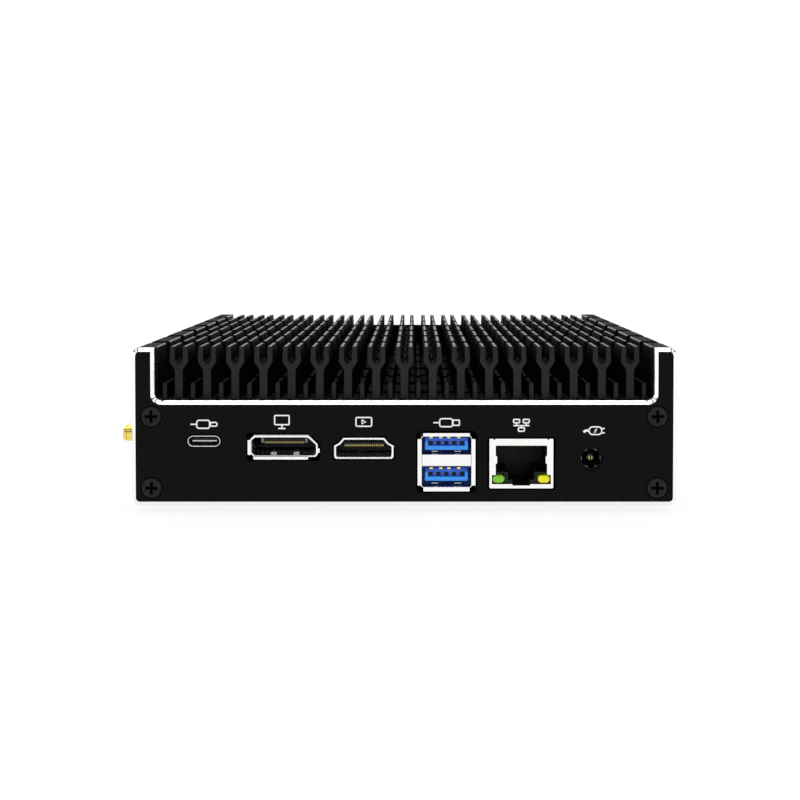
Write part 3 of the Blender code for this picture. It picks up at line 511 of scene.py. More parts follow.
def make_case():
    outline = case_outline()
    case = solid("case_extrusion", outline, "Y", CASE_LOW.y, CASE_HIGH.y, FINS, nodes="heatsink_case")
    slots, holes = bmesh.new(), bmesh.new()
    for i in range(SLOT_COUNT):
        middle = (i - (SLOT_COUNT - 1) / 2) * SLOT_PITCH
        low = (-HALF_WIDTH - 2, middle - SLOT_WIDTH / 2, SLOT_FLOOR)
        add_box(slots, low, (HALF_WIDTH + 2, middle + SLOT_WIDTH / 2, HEIGHT + 2))
    boolean(case, slots)
    for end in (-1, 1):
        add_corner_holes(holes, end)
    for number in (1, 2):
        jack = middle_of(f"antenna_jack_{number}")
        add_cylinder(holes, "X", jack.y, jack.z, -HALF_WIDTH - 1, -WALL_INSIDE + 1, 3.5)
    boolean(case, holes)
    case.data.materials.append(SAWN)
    case.data.materials.append(PAINTED_HIGHLIGHT_TOPS)
    # The sawn ends get their own finish; the strips on the arm tops and the walls' inner top edges get the
    # painted highlight material
    for face in case.data.polygons:
        x, y, z = face.center / MM
        end = min(y - CASE_LOW.y, CASE_HIGH.y - y) < 0.001
        highlighted_wall_edge = max(abs(abs(x) - FIN_EDGE), HEIGHT - z) < WALL_EDGE
        from_fin = abs((x + FIN_PITCH / 2) % FIN_PITCH - FIN_PITCH / 2)
        highlighted_arm_top = abs(x) < FIN_EDGE and z > HEIGHT - 0.01 and abs(from_fin - ARM_MIDDLE) < HIGHLIGHT_STRIP_HALF
        face.material_index = 1 if end else 2 if highlighted_wall_edge or highlighted_arm_top else 0
    return soften(case, 0.1, 1)


def panel_outline(notch, inset=0.0):
    """An end panel's outline, with an opening down to the notch level between the side walls. The inset
    draws it in from its edges, as the chamfer round the panel's face does."""
    right = [(FIN_EDGE + inset, notch - inset, 1.5 + inset), (FIN_EDGE + inset, HEIGHT - inset, 0.1)]
    right += [(HALF_WIDTH - inset, z, CORNER - inset) for z in (HEIGHT - inset, inset)]
    return rounded(right + [(-x, z, radius) for x, z, radius in reversed(right)], 8)


def add_countersink(bm, axis, u, v, face, inward):
    outer = HEAD_RADIUS + 0.25
    profile = [(0, -1), (outer, -1), (outer, 0.35), (SHANK_RADIUS + GAP, HEAD_HEIGHT + GAP)]
    profile += [(SHANK_RADIUS + GAP, 5), (0, 5)]
    add_turned(bm, [(radius, face + inward * w) for radius, w in profile], axis, u, v)


def make_panel(name, notch, openings, spot, node):
    """An end panel, drawn with +Y going in. Its rim has a bright chamfer cut through the black."""
    bm = bmesh.new()
    outline, rim = panel_outline(notch), 0.05
    loops = [(panel_outline(notch, EDGE_CUT), 0), (panel_outline(notch, rim), EDGE_DEPTH - rim)]
    add_loops(bm, loops + [(outline, EDGE_DEPTH + 2 * rim), (outline, PANEL)], "Y")
    bmesh.ops.recalc_face_normals(bm, faces=bm.faces)
    for face in bm.faces:
        face.normal_update()
        face.material_index = int(0.6 < -face.normal.y < 0.95)
    panel = piece(name, bm, (ANODISED, BRIGHT), spot, node)
    cuts = bmesh.new()
    for outline in openings:
        add_prism(cuts, outline, "Y", -2, PANEL + 2)
    for x in (-PANEL_SCREW_X, PANEL_SCREW_X):
        for z in PANEL_SCREW_LEVELS:
            add_countersink(cuts, "Y", x, z, 0, 1)
    boolean(panel, cuts)
    return soften(panel, 0.06, 2, 35)


def opening(spot, width, height, radius):
    """A port's opening in its panel, as an outline round the port."""
    side = 1 if spot.at.y < 0 else -1
    return rectangle(side * spot.at.x, spot.at.z, width, height, radius)


def moved(outline, x, z):
    return [point + Vector((x, z)) for point in outline]


def make_panels(ports):
    display = [(-9.3, -3.5, 0.8), (9.2, -3.5, 0.8), (9.2, 0.95, 0.5), (6.5, 3.55, 0.6), (-9.3, 3.55, 0.8)]
    front = [opening(ports["usb_c"], 9.0, 3.5, 1.7), moved(rounded(display), *ports["display"].at.xz)]
    front.append(moved(rounded(mirrored(video_corners(0.35))), *ports["video"].at.xz))
    front += [opening(ports["usb"], 15.3, 15.5, 1.4), opening(ports["ethernet"], 17.0, 13.2, 0.6)]
    front.append(polygon(2.95, 40, ports["inlet"].at.xz))
    make_panel("port_panel_plate", FIN_FLOOR + 0.1, front, Spot(0, FRONT, 0), "io_panel")
    back = [opening(ports["rear_usb"], 15.3, 15.5, 1.4)]
    for port, radius in (("button", 6.0), ("light", 1.8), ("audio", 3.3)):
        at = ports[port].at
        back.append(polygon(radius, 40, (-at.x, at.z)))
    make_panel("button_panel_plate", REAR_NOTCH, back, Spot(0, BACK, 0, (0, 0, math.pi)), "button_panel")


def screw_mesh():
    """A countersunk screw with a cross recess, its face at the origin and facing +Z."""
    rim = HEAD_RADIUS
    profile = [(0, 0), (rim - 0.1, 0), (rim, -0.08), (rim, -0.3), (SHANK_RADIUS, -HEAD_HEIGHT - 0.3)]
    profile += [(SHANK_RADIUS, -6), (0, -6)]
    bm = bmesh.new()
    add_turned(bm, profile, "Z")
    screw = piece("screw", bm, BLACK_STEEL)
    loops = []
    for w, shrink in ((0.2, 1.0), (-0.05, 0.97), (-RECESS_DEPTH, 0.5)):
        a, b = RECESS_HALF * (0.4 + 0.6 * shrink), RECESS_REACH * shrink
        arm = [(a, a), (a, b), (-a, b)]
        cross = []
        for _ in range(4):
            cross += arm
            arm = [(-v, u) for u, v in arm]
        loops.append((cross, w))
    recess = bmesh.new()
    add_loops(recess, loops, "Z")
    boolean(screw, recess)
    # The faces inside the cross recess take the painted shade material
    screw.data.materials.append(PAINTED_SHADE_RECESS)
    for face in screw.data.polygons:
        x, y, z = face.center / MM
        inside = math.hypot(x, y) < 0.8 * HEAD_RADIUS and -1.01 * RECESS_DEPTH < z < -0.02
        face.material_index = int(inside)
    soften(screw, 0.05, 2, 30)
    mesh = evaluated_mesh(screw)
    bpy.data.objects.remove(screw)
    return mesh


def make_screws():
    mesh = screw_mesh()
    levels = [(x, z) for z in PANEL_SCREW_LEVELS for x in (-PANEL_SCREW_X, PANEL_SCREW_X)]
    for number, (x, z) in enumerate(levels, 1):
        twist = 0.02 * (number - 2.5)
        for name, y, tilt in (("io_panel", FRONT, math.pi / 2), ("button_panel", BACK, -math.pi / 2)):
            turn = Euler((tilt, 0, 0)).to_matrix() @ Euler((0, 0, twist)).to_matrix()
            spot = Spot(x, y, z, turn.to_euler())
            piece(f"{name}_screw_{number}_drawn", mesh, BLACK_STEEL, spot, f"{name}_screw_{number}")
    for number in range(1, 5):
        node = f"cover_screw_{number}"
        middle = middle_of(node)
        spot = Spot(middle.x, middle.y, 0, (math.pi, 0, 0.3 * number))
        piece(f"{node}_drawn", mesh, BLACK_STEEL, spot, node)


def make_feet():
    """Rubber feet with a rounded rim and a dished sole."""
    low, high = corners_of("rubber_foot_1")
    radius, rim, dish = (high.x - low.x) / 2, 0.9, 0.3
    profile = [(0, low.z + dish), (radius - 2, low.z + dish), (radius - 1.6, low.z)]
    for angle in (0, 0.4, 0.8, 1.2, math.pi / 2):
        profile.append((radius - rim + rim * math.sin(angle), low.z + rim - rim * math.cos(angle)))
    bm = bmesh.new()
    add_turned(bm, [*profile, (radius, high.z), (0, high.z)], "Z")
    mesh = new_mesh("foot", bm)
    for number in range(1, 5):
        node = f"rubber_foot_{number}"
        middle = middle_of(node)
        piece(f"{node}_drawn", mesh, RUBBER, Spot(middle.x, middle.y, 0), node)


# Ports


def spaced(count, pitch):
    """The places of a row of things at this pitch, about 0."""
    return [(i - (count - 1) / 2) * pitch for i in range(count)]


def contact_row(name, material, spot, xs, half_width, levels, start, end):
    """A row of flat contacts between two depths."""
    bm = bmesh.new()
    for x in xs:
        for low, high in levels:
            add_box(bm, (x - half_width, start, low), (x + half_width, end, high))
    piece(name, bm, material, spot)


def make_usb_c(spot):
    bm = bmesh.new()
    add_tube(bm, rectangle(0, 0, 8.25, 2.8, 1.37), rectangle(0, 0, 7.75, 2.3, 1.12), "Y", PROUD, 7.5, 0.1)
    piece("usb_c_shell_drawn", bm, NICKEL, spot, "usb_c_port_shell")
    bm = bmesh.new()
    sizes = ((6.1, 0.4, 0.9), (6.5, 0.7, 1.2), (6.5, 0.7, 5))
    add_loops(bm, [(rectangle(0, -0.05, w, h, h / 2 - 0.01), y) for w, h, y in sizes], "Y")
    add_prism(bm, rectangle(0, 0, 7.4, 1.9, 0.9), "Y", 4.5, 7.5)
    piece("usb_c_tongue_drawn", bm, PLASTIC, spot, "usb_c_port_tongue")
    bm = bmesh.new()
    add_prism(bm, rectangle(0, -0.05, 6.1, 0.26, 0.1), "Y", 0.8, 1.3)
    for x in spaced(12, 0.5):
        for z in (-0.36, 0.36):
            add_box(bm, (x - 0.12, 1.3, z - 0.08), (x + 0.12, 4.5, z - 0.02))
    piece("usb_c_contacts", bm, ZINC, spot)


def make_display_port(spot):
    outer = [(-7.4, -2.45, 0.2), (7.9, -2.45, 0.4), (8.5, -1.85, 0.4), (8.5, 0.75, 0.3), (6.2, 3.05, 0.3)]
    outer += [(-7.3, 3.05, 0.3), (-8.2, 2.15, 0.3), (-8.2, -1.6, 0.2)]
    inner = [(-7.2, -2.1, 0.2), (7.6, -2.1, 0.3), (8.1, -1.6, 0.3), (8.1, 0.6, 0.3), (6.05, 2.45, 0.3)]
    inner += [(-7.1, 2.45, 0.3), (-7.95, 1.75, 0.3), (-7.95, -1.4, 0.2)]
    bm = bmesh.new()
    add_tube(bm, rounded(outer), rounded(inner), "Y", PROUD, 15, 0.08)
    flanges = ((-8.5, -0.05, 0.85, 3.7), (-0.7, -2.6, 13.6, 0.95), (8.7, -0.85, 0.55, 1.1))
    for x, z, width, height in flanges:
        add_prism(bm, rectangle(x, z, width, height, 0.12), "Y", PROUD, 0.2)
    piece("display_port_shell_drawn", bm, NICKEL, spot, "display_port_shell")
    bm = bmesh.new()
    spring = [(0.4, -2.0), (0.9, -1.35), (3.0, -1.1), (6.5, -1.95), (6.5, -2.05), (3.0, -1.25)]
    spring += [(1.0, -1.5), (0.5, -2.05)]
    for x in (-2.5, 3.15):
        add_prism(bm, spring, "X", x - 0.7, x + 0.7)
    piece("display_port_springs", bm, NICKEL, spot)
    bm = bmesh.new()
    back = ((-6.6, -1.7), (7.2, -1.7), (7.6, 0.3), (5.7, 2.0), (-6.8, 2.0), (-7.2, 1.4))
    add_prism(bm, rounded([(x, z, 0.2) for x, z in back]), "Y", 9, 15)
    sizes = ((11.0, 0.9, 2.2), (11.2, 1.2, 2.5), (11.2, 1.2, 9.5))
    add_loops(bm, [(rectangle(0, 1.3, w, h, 0.15), y) for w, h, y in sizes], "Y")
    piece("display_port_insert_drawn", bm, PLASTIC, spot, "display_port_insert")
    # The contacts' dim gold is painted shade
    contact_row("display_port_contacts", SHADE_DIMMED_GOLD, spot, spaced(20, 0.5), 0.15, [(0.62, 1.05)], 2.05, 2.7)
    bm = bmesh.new()
    for side in (-1, 1):
        add_prism(bm, rectangle(side * 5.5, 1.35, 0.55, 1.25, 0.1), "Y", 2.1, 4)
    piece("display_port_brackets", bm, DULL, spot)


def video_corners(grown):
    """The right half of the video port's outline as (x, z, radius) corners, grown outwards by this much."""
    right = [(7.45 + grown, -2.65 - grown, 0.7), (7.45 + grown, 0.75 + 0.6 * grown, 0.4)]
    return right + [(6.15 + 0.7 * grown, 1.5 + 0.8 * grown, 0.4), (5.2 + 0.6 * grown, 2.7 + grown, 0.4)]


def make_video_port(spot):
    bm = bmesh.new()
    outer, inner, back = [rounded(mirrored(video_corners(-shrink))) for shrink in (0.06, 0.5, 0.75)]
    add_tube(bm, outer, inner, "Y", PROUD, 11, 0.1)
    piece("hd_video_shell_drawn", bm, NICKEL, spot, "hd_video_port_shell")
    bm = bmesh.new()
    add_prism(bm, back, "Y", 7.5, 11)
    sizes = ((10.3, 0.8, 2.1), (10.6, 1.1, 2.4), (10.6, 1.1, 8))
    add_loops(bm, [(rectangle(0, 0.85, w, h, 0.15), y) for w, h, y in sizes], "Y")
    piece("hd_video_insert_drawn", bm, PLASTIC, spot, "hd_video_port_insert")
    # The contacts' dim gold is painted shade
    contact_row("hd_video_contacts", SHADE_DIMMED_GOLD, spot, spaced(19, 0.52), 0.16, [(0.2, 0.72)], 1.95, 2.6)


def make_usb_stack(name, spot, plastic, lip_plastic):
    """Two sockets in one shell, upside down as they hang below the mainboard."""
    bm = bmesh.new()
    add_tube(bm, rectangle(0, 0, 12.9, 13.1, 0.9), rectangle(0, 0, 12.4, 12.6, 0.65), "Y", -0.05, 17, 0.08)
    flanges = ((-6.7, -0.1, 1.0, 11.6), (6.7, -0.1, 1.0, 11.6), (0, 6.8, 11.6, 0.8), (0, -6.85, 11.5, 1.0))
    for x, z, width, height in flanges:
        add_prism(bm, rectangle(x, z, width, height, 0.12), "Y", PROUD, 0.25)
    bar = 0.42
    add_prism(bm, rectangle(0, bar, 12.4, 2.8, 0.08), "Y", -0.16, 10)
    for level in (-5.8, 2.2):
        for x in (-2.9, 2.9):
            add_prism(bm, rectangle(x, level, 1.6, 0.14, 0.05), "Y", 2.4, 6)
    piece(f"{name}_shell_drawn", bm, NICKEL, spot, f"{name}_shell")
    bm = bmesh.new()
    for side in (-1, 1):
        add_prism(bm, rectangle(side * 6.13, bar, 0.16, 2.9, 0.05), "Y", PROUD, 0.5)
    piece(f"{name}_seams", bm, SHADE_DIMMED_GOLD, spot)
    blue, lips, window_shade_patches, gold = bmesh.new(), bmesh.new(), bmesh.new(), bmesh.new()
    add_prism(blue, rectangle(0, 0, 12.2, 12.5, 0.4), "Y", 10.2, 16.6)
    for level in (2.85, -4.9):
        add_prism(blue, rectangle(0, level + 1.7, 10.6, 2.5, 0.2), "Y", 1.5, 11)
        add_prism(blue, rectangle(0, level + 3.2, 12.2, 0.25, 0.05), "Y", 2.2, 11)
        cup = [(5.45, 0.0, 0.35), (5.3, 2.25, 0.25), (4.7, 2.35, 0.15), (4.65, 1.0, 0.2)]
        front = [(u * 0.99, v + 0.04, radius) for u, v, radius in cup]
        lip = ((front, 0.6), (cup, 0.8), (cup, 5))
        add_loops(lips, [(moved(rounded(mirrored(corners)), 0, level), y) for corners, y in lip], "Y")
        # Painted shade: black patches laid just in front of each tongue where its contact windows show only
        # shade
        for x in spaced(5, 1.96):
            add_prism(window_shade_patches, rectangle(x, level + 1.65, 1.1, 0.9, 0.08), "Y", 1.38, 1.6)
        for x in (-3.8, -1.4, 0.6, 3.1):
            add_prism(gold, rectangle(x, level + 3.1, 0.85, 0.5, 0.2), "Y", 1.3, 6)
    piece(f"{name}_insert_drawn", blue, plastic, spot, f"{name}_insert")
    # On the front stack the lips take the brighter blue copy, which is painted highlight
    piece(f"{name}_lips", lips, lip_plastic, spot)
    piece(f"{name}_windows", window_shade_patches, PLASTIC, spot)
    piece(f"{name}_contacts", gold, GOLD, spot)


def make_ethernet(spot):
    """The shield's front plate is cut out for the plug, and wider at the bottom for the two lights."""
    edge = [(7.95, -6.2, 0.3), (7.95, 6.2, 0.2)]
    edge += [(x, z, 0.05) for x, z in ((7.0, 6.2), (6.85, 5.95), (6.6, 5.95), (6.45, 6.2))]
    edge, node = rounded(mirrored(edge), 2), "ethernet_jack_shield"
    shield = solid("ethernet_shield_drawn", edge, "Y", PROUD, 16, NICKEL, spot, node)
    inside, mouth = bmesh.new(), bmesh.new()
    add_prism(inside, rectangle(0, 0, 15.6, 11.9), "Y", 0.15, 17)
    right = [(2.2, -5.5, 0.1), (2.2, -5.15, 0.1), (7.35, -5.15, 0.15), (7.35, -2.85, 0.15)]
    right += [(6.4, -2.85, 0.1), (6.4, -0.15, 0.1), (6.05, 0.1, 0.1), (6.05, 1.75, 0.1)]
    right += [(6.4, 2.0, 0.1), (6.4, 4.5, 0.15)]
    add_prism(mouth, rounded(mirrored(right), 2), "Y", -1, 1)
    boolean(boolean(shield, inside), mouth)
    soften(shield, 0.05, 2)
    block, node = rectangle(0, 0, 15.2, 11.5), "ethernet_jack_insert"
    insert = solid("ethernet_insert_drawn", block, "Y", 0.5, 15.6, PLASTIC, spot, node)
    cavity = bmesh.new()
    hollow = ((2.2, -5.4), (2.2, -4.2), (3.3, -4.2), (3.3, -2.25), (6.35, -2.25), (6.35, 4.45))
    add_prism(cavity, rounded(mirrored([(x, z, 0) for x, z in hollow])), "Y", 0, 12.5)
    for side in (-1, 1):
        add_prism(cavity, rectangle(side * 5.85, -4.0, 3.3, 2.6, 0.2), "Y", 0, 5)
    boolean(insert, cavity)
    bm = bmesh.new()
    for x in spaced(8, 1.02):
        add_prism(bm, [(2.5, 4.3), (2.5, 4.0), (9.5, 1.6), (9.7, 1.75), (2.9, 4.3)], "X", x - 0.2, x + 0.2)
    # The contacts' dim gold is painted shade
    piece("ethernet_contacts", bm, SHADE_DIMMED_GOLD, spot)
    for side, color, lens in ((-1, "green", GREEN_LENS), (1, "yellow", YELLOW_LENS)):
        bm = bmesh.new()
        sizes = ((1.8, 0.8, 0.0), (2.7, 1.6, 0.12), (3.1, 2.0, 0.45), (3.1, 2.0, 4.7))
        add_loops(bm, [(rectangle(side * 5.7, -4.0, w, h, h / 2 - 0.01, 8), y) for w, h, y in sizes], "Y")
        piece(f"ethernet_light_{color}_drawn", bm, lens, spot, f"ethernet_jack_light_{color}")


def make_inlet(spot):
    bm = bmesh.new()
    add_prism(bm, rectangle(0, 0.6, 9.0, 11.0), "Y", PANEL + GAP, 16)
    body = piece("dc_inlet_body_drawn", bm, PLASTIC, spot, "dc_jack_body")
    collar, bore = bmesh.new(), bmesh.new()
    add_turned(collar, [(0, 0.3), (2.7, 0.3), (2.8, 0.4), (2.8, PANEL + 1), (0, PANEL + 1)], "Y")
    add_turned(bore, [(0, 0), (2.55, 0), (2.55, 12), (1.35, 12), (1.35, 17), (0, 17)], "Y")
    boolean(boolean(body, collar, "UNION"), bore)
    soften(body, 0.05)
    leaves = bmesh.new()
    leaf = ((2.3, -0.17), (2.5, -0.17), (2.5, 0.17), (2.3, 0.17))
    for i in range(6):
        turn = math.radians(60 * i + 2)
        section = [(r * math.cos(turn + a), r * math.sin(turn + a)) for r, a in leaf]
        add_prism(leaves, section, "Y", 1.0, 10)
    piece("dc_inlet_leaves", leaves, DULL, spot)
    pin, split = bmesh.new(), bmesh.new()
    profile = [(0, 1.5), (0.55, 1.5), (0.85, 1.75), (0.9, 2.1), (0.9, 2.7), (0.6, 2.9)]
    profile += [(0.6, 16.5), (0, 16.5)]
    add_turned(pin, profile, "Y", steps=24)
    # The pin's dim gold is painted shade
    pin = piece("dc_inlet_pin_drawn", pin, SHADE_DIMMED_GOLD, spot, "dc_jack_pin")
    add_prism(split, rectangle(0, 0, 0.3, 3), "Y", 0, 4)
    boolean(pin, split)


def threaded(radius, pitch, depth, start, end):
    """The profile of a threaded rod, as (radius, w) points: a groove at each turn."""
    points = []
    turns = int((end - start) / pitch)
    for i in range(turns):
        w = start + i * pitch
        points += [(radius, w), (radius, w + pitch * 0.25), (radius - depth, w + pitch * 0.5)]
        points += [(radius - depth, w + pitch * 0.65), (radius, w + pitch * 0.9)]
    return points + [(radius, end)]


def make_antenna(number):
    """A gold bulkhead jack pointing to -X, drawn with w along its own reach, with its nut and washer."""
    node = f"antenna_jack_{number}"
    low, high = corners_of(node)
    middle = middle_of(node)
    spot = Spot(-HALF_WIDTH, middle.y, middle.z)
    reach, inner = -HALF_WIDTH - low.x, -HALF_WIDTH - high.x
    neck, groove, tip, bore = 2.35, 1.95, 2.2, 1.65
    outside = [(4.2, -3.8), (3.175, -3.8), *threaded(3.175, 0.7, 0.3, -3.6, reach - 2.9)]
    outside += [(neck, reach - 2.6), (neck, reach - 1.35), (groove, reach - 1.25), (groove, reach - 1.05)]
    outside += [(tip, reach - 0.95), (tip, reach - 0.2), (tip - 0.2, reach)]
    outside += [(bore, reach), (bore, reach - 2.5)]
    profile = [(0, inner), (1.6, inner), (1.6, -5.6), (4.2, -5.6), *outside, (0, reach - 2.5)]
    bm = bmesh.new()
    add_turned(bm, [(radius, -w) for radius, w in profile], "X")
    piece(f"antenna_jack_{number}_drawn", bm, GOLD, spot, node)
    bm = bmesh.new()
    front, floor = reach - 0.9, reach - 2
    profile = [(0, reach - 2.6), (1.5, reach - 2.6), (1.5, front), (0.6, front), (0.6, floor), (0, floor)]
    add_turned(bm, [(radius, -w) for radius, w in profile], "X")
    piece(f"antenna_core_{number}", bm, WHITE_PLASTIC, spot)
    bm = bmesh.new()
    front, floor = reach - 0.95, reach - 1.6
    profile = [(0, reach - 2.2), (0.5, reach - 2.2), (0.5, front), (0.28, front), (0.28, floor), (0, floor)]
    add_turned(bm, [(radius, -w) for radius, w in profile], "X", steps=20)
    piece(f"antenna_contact_{number}", bm, GOLD, spot)
    across = 4.0 / math.cos(math.pi / 6)
    bm = bmesh.new()
    sizes = ((0.93, -0.85), (1.0, -1.1), (1.0, -2.25), (0.93, -2.5))
    add_loops(bm, [(polygon(across * size, 6), w) for size, w in sizes], "X")
    nut = piece(f"antenna_nut_{number}_drawn", bm, GOLD, spot, f"antenna_nut_{number}")
    hole = bmesh.new()
    add_cylinder(hole, "X", 0, 0, -4, 1, 3.22)
    boolean(nut, hole)
    soften(nut, 0.06)
    bm = bmesh.new()
    add_turned(bm, [(3.3, -0.1), (5.0, -0.1), (5.0, -0.8), (3.3, -0.8), (3.3, -0.1)], "X")
    piece(f"antenna_washer_{number}", bm, GOLD, spot)


# Button panel


def make_button(spot):
    """The bezel, the button with its mark, and the spring behind the button."""
    low, high = corners_of("power_button_bezel")
    depth = BACK - low.y
    bm = bmesh.new()
    profile = [(4.9, -1.1), (5.1, -1.3), (6.4, -1.3), (6.9, -0.95), (7.0, -0.8), (7.0, -0.05), (5.7, -0.05)]
    profile += [(5.7, depth), (2.0, depth), (2.0, depth - 1), (4.9, depth - 1), (4.9, -1.1)]
    add_turned(bm, profile, "Y", steps=64)
    piece("power_button_bezel_drawn", bm, ANODISED, spot, "power_button_bezel")
    bm = bmesh.new()
    profile = [(0, -1.55), (2.6, -1.6), (3.9, -1.8), (4.25, -1.75), (4.6, -1.4), (4.6, 1.2)]
    profile += [(1.5, 1.2), (1.5, 6.3), (0, 6.3)]
    add_turned(bm, profile, "Y", steps=64)
    piece("power_button_drawn", bm, NICKEL, spot, "power_button", "power_button")
    face, radius, half_gap, steps = -1.6, 1.5, 0.6, 28
    angles = [half_gap + 2 * (math.pi - half_gap) * i / steps for i in range(steps + 1)]
    arc = [(radius * math.sin(a), face, radius * math.cos(a)) for a in angles]
    strokes = [arc, [(0, face, 0.5), (0, face, 1.9)]]
    wire("power_button_mark", strokes, 0.14, PLASTIC, spot, body="power_button")
    low, high = corners_of("power_button_spring")
    turns, per_turn, wire_radius = 3, 24, 0.3
    length = high.y - low.y - 2 * wire_radius
    start = BACK - high.y + wire_radius
    coil = []
    for i in range(turns * per_turn + 1):
        angle = 2 * math.pi * i / per_turn
        coil.append((3.2 * math.cos(angle), start + length * i / (turns * per_turn), 3.2 * math.sin(angle)))
    spring = wire("power_button_spring_drawn", [coil], wire_radius, NICKEL, spot)
    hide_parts("power_button_spring")
    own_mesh(spring)


def make_light_and_audio(light, audio):
    bm = bmesh.new()
    add_turned(bm, [(0, -0.3), (0.6, -0.27), (1.1, -0.12), (1.5, 0.1), (1.5, 7), (0, 7)], "Y")
    piece("status_light_drawn", bm, CLEAR_LENS, light, "status_light_pipe")
    bm = bmesh.new()
    add_prism(bm, rectangle(0, 0.8, 7.0, 7.6, 0.3), "Y", PANEL + GAP, 15)
    body = piece("audio_jack_drawn", bm, PLASTIC, audio, "audio_jack")
    collar, bore = bmesh.new(), bmesh.new()
    add_turned(collar, [(0, -0.4), (2.8, -0.4), (3.0, -0.2), (3.0, PANEL + 1), (0, PANEL + 1)], "Y")
    add_cylinder(bore, "Y", 0, 0, -1, 13, 1.8)
    boolean(boolean(body, collar, "UNION"), bore)
    soften(body, 0.05)
    bm = bmesh.new()
    add_turned(bm, [(1.79, 0.1), (1.79, 2.2), (1.6, 2.2), (1.6, 0.3), (1.79, 0.1)], "Y")
    piece("audio_jack_ring", bm, GOLD, audio)


# Printed marks: plain pictograms in place of lettering


def stroke_box(x, z, width, height, radius=0.2):
    return [(u, 0, v) for u, v in rectangle(x, z, width, height, radius, 3)]


def arc_points(x, z, radius, start, end, count=12):
    angles = [start + (end - start) * i / count for i in range(count + 1)]
    return [(x + radius * math.cos(a), 0, z + radius * math.sin(a)) for a in angles]


def mark(name, spot, x, z, closed=(), lines=(), radius=INK_RADIUS):
    """Ink strokes round a point of the panel beside a port."""
    at = Spot(spot.at.x + x, spot.at.y, spot.at.z + z, spot.turn)
    if closed:
        wire(name + "_outline", closed, radius, PRINT, at, INK_FLATNESS, True)
    if lines:
        wire(name + "_lines", lines, radius, PRINT, at, INK_FLATNESS)


def make_plug_mark(name, spot, x, z, tip):
    """A plug seen from its side, with its lead."""
    body = stroke_box(-0.4, 0, 3.2, 2.0, 0.5)
    lead = [(-2.2, 0, 0), (-3.6, 0, 0)]
    mark(name, spot, x, z, [body, tip], [lead])


def make_marks(ports):
    slim_tip, square_tip = stroke_box(2.2, 0, 1.7, 0.9, 0.4), stroke_box(2.1, 0, 1.6, 1.3, 0.1)
    make_plug_mark("usb_c_mark", ports["usb_c"], 0.2, 4.2, slim_tip)
    stand = [[(-0.9, 0, -1.55), (0.9, 0, -1.55)], [(0, 0, -0.6), (0, 0, -1.5)]]
    mark("display_mark", ports["display"], -0.4, 6.2, [stroke_box(0, 0.55, 3.6, 2.3)], stand)
    arrow = [[(-0.45, 0, 0.5), (0.5, 0, 0), (-0.45, 0, -0.5), (-0.45, 0, 0.5)]]
    mark("video_mark", ports["video"], 0, 6.65, [stroke_box(0, 0, 3.9, 2.2, 0.3)], arrow)
    make_plug_mark("usb_mark", ports["usb"], 0.3, 9.8, square_tip)
    boxes = [stroke_box(x, z, 1.5, 0.85) for x, z in ((-1.2, 1.13), (1.2, 1.13), (0, -0.97))]
    drops = [[(x, 0, 0.6), (x, 0, 0)] for x in (-1.2, 1.2)]
    links = [[(-2.0, 0, 0), (2.0, 0, 0)], *drops, [(0, 0, 0), (0, 0, -0.5)]]
    mark("network_mark", ports["ethernet"], 0, 9.47, boxes, links)
    place_of_mark = (ports["inlet"], 0, 7.0)
    prongs = [[(2.6, 0, z), (3.3, 0, z)] for z in (-0.55, 0.55)]
    mark("power_mark", *place_of_mark, [stroke_box(1.0, 0, 3.15, 1.9, 0.8)], prongs)
    bolt = [(1.35, 0, 0.5), (0.75, 0, -0.1), (1.3, 0, 0.1), (0.7, 0, -0.5)]
    mark("power_mark_bolt", *place_of_mark, (), [bolt], 0.16)
    lead = [(-0.8, 0, 0.1), (-1.4, 0, 0.0), (-2.0, 0, -0.3)]
    mark("power_mark_lead", *place_of_mark, (), [lead], 0.33)
    ring = arc_points(0, 0, 1.1, math.pi / 2 + 0.6, 2.5 * math.pi - 0.6, 20)
    mark("button_mark", ports["button"], 0, 9.6, (), [ring, [(0, 0, 0.3), (0, 0, 1.4)]])
    band = arc_points(0, -0.1, 1.3, 0, math.pi, 16)
    cups = [[(x, 0, -0.2), (x, 0, -0.9)] for x in (-1.3, 1.3)]
    mark("audio_mark", ports["audio"], 0, 7.0, (), [band, *cups])
    make_plug_mark("rear_usb_mark", ports["rear_usb"], 0.3, 9.8, square_tip)


# Studio


def make_world():
    """Light from all round, with two dark bands that the polished edges mirror: one from straight below the
    horizon to above it, and one near the top."""
    world = bpy.data.worlds.new("studio_light")
    world.use_nodes = True
    nodes, links = world.node_tree.nodes, world.node_tree.links
    direction, split = nodes.new("ShaderNodeTexCoord"), nodes.new("ShaderNodeSeparateXYZ")
    ramp = nodes.new("ShaderNodeValToRGB")
    links.new(direction.outputs["Generated"], split.inputs["Vector"])
    links.new(split.outputs["Z"], ramp.inputs["Fac"])
    links.new(ramp.outputs["Color"], nodes["Background"].inputs["Color"])
    stops, bright, dark = ramp.color_ramp.elements, 1.08, 0.05
    stops[0].color = stops[1].color = (bright, bright, bright, 1)
    bands = [(0.25, bright), (0.3, dark), (0.5, dark), (0.55, bright), (0.76, bright)]
    for height, level in [*bands, (0.8, dark), (0.88, dark)]:
        stops.new(height).color = (level, level, level, 1)
    bpy.context.scene.world = world


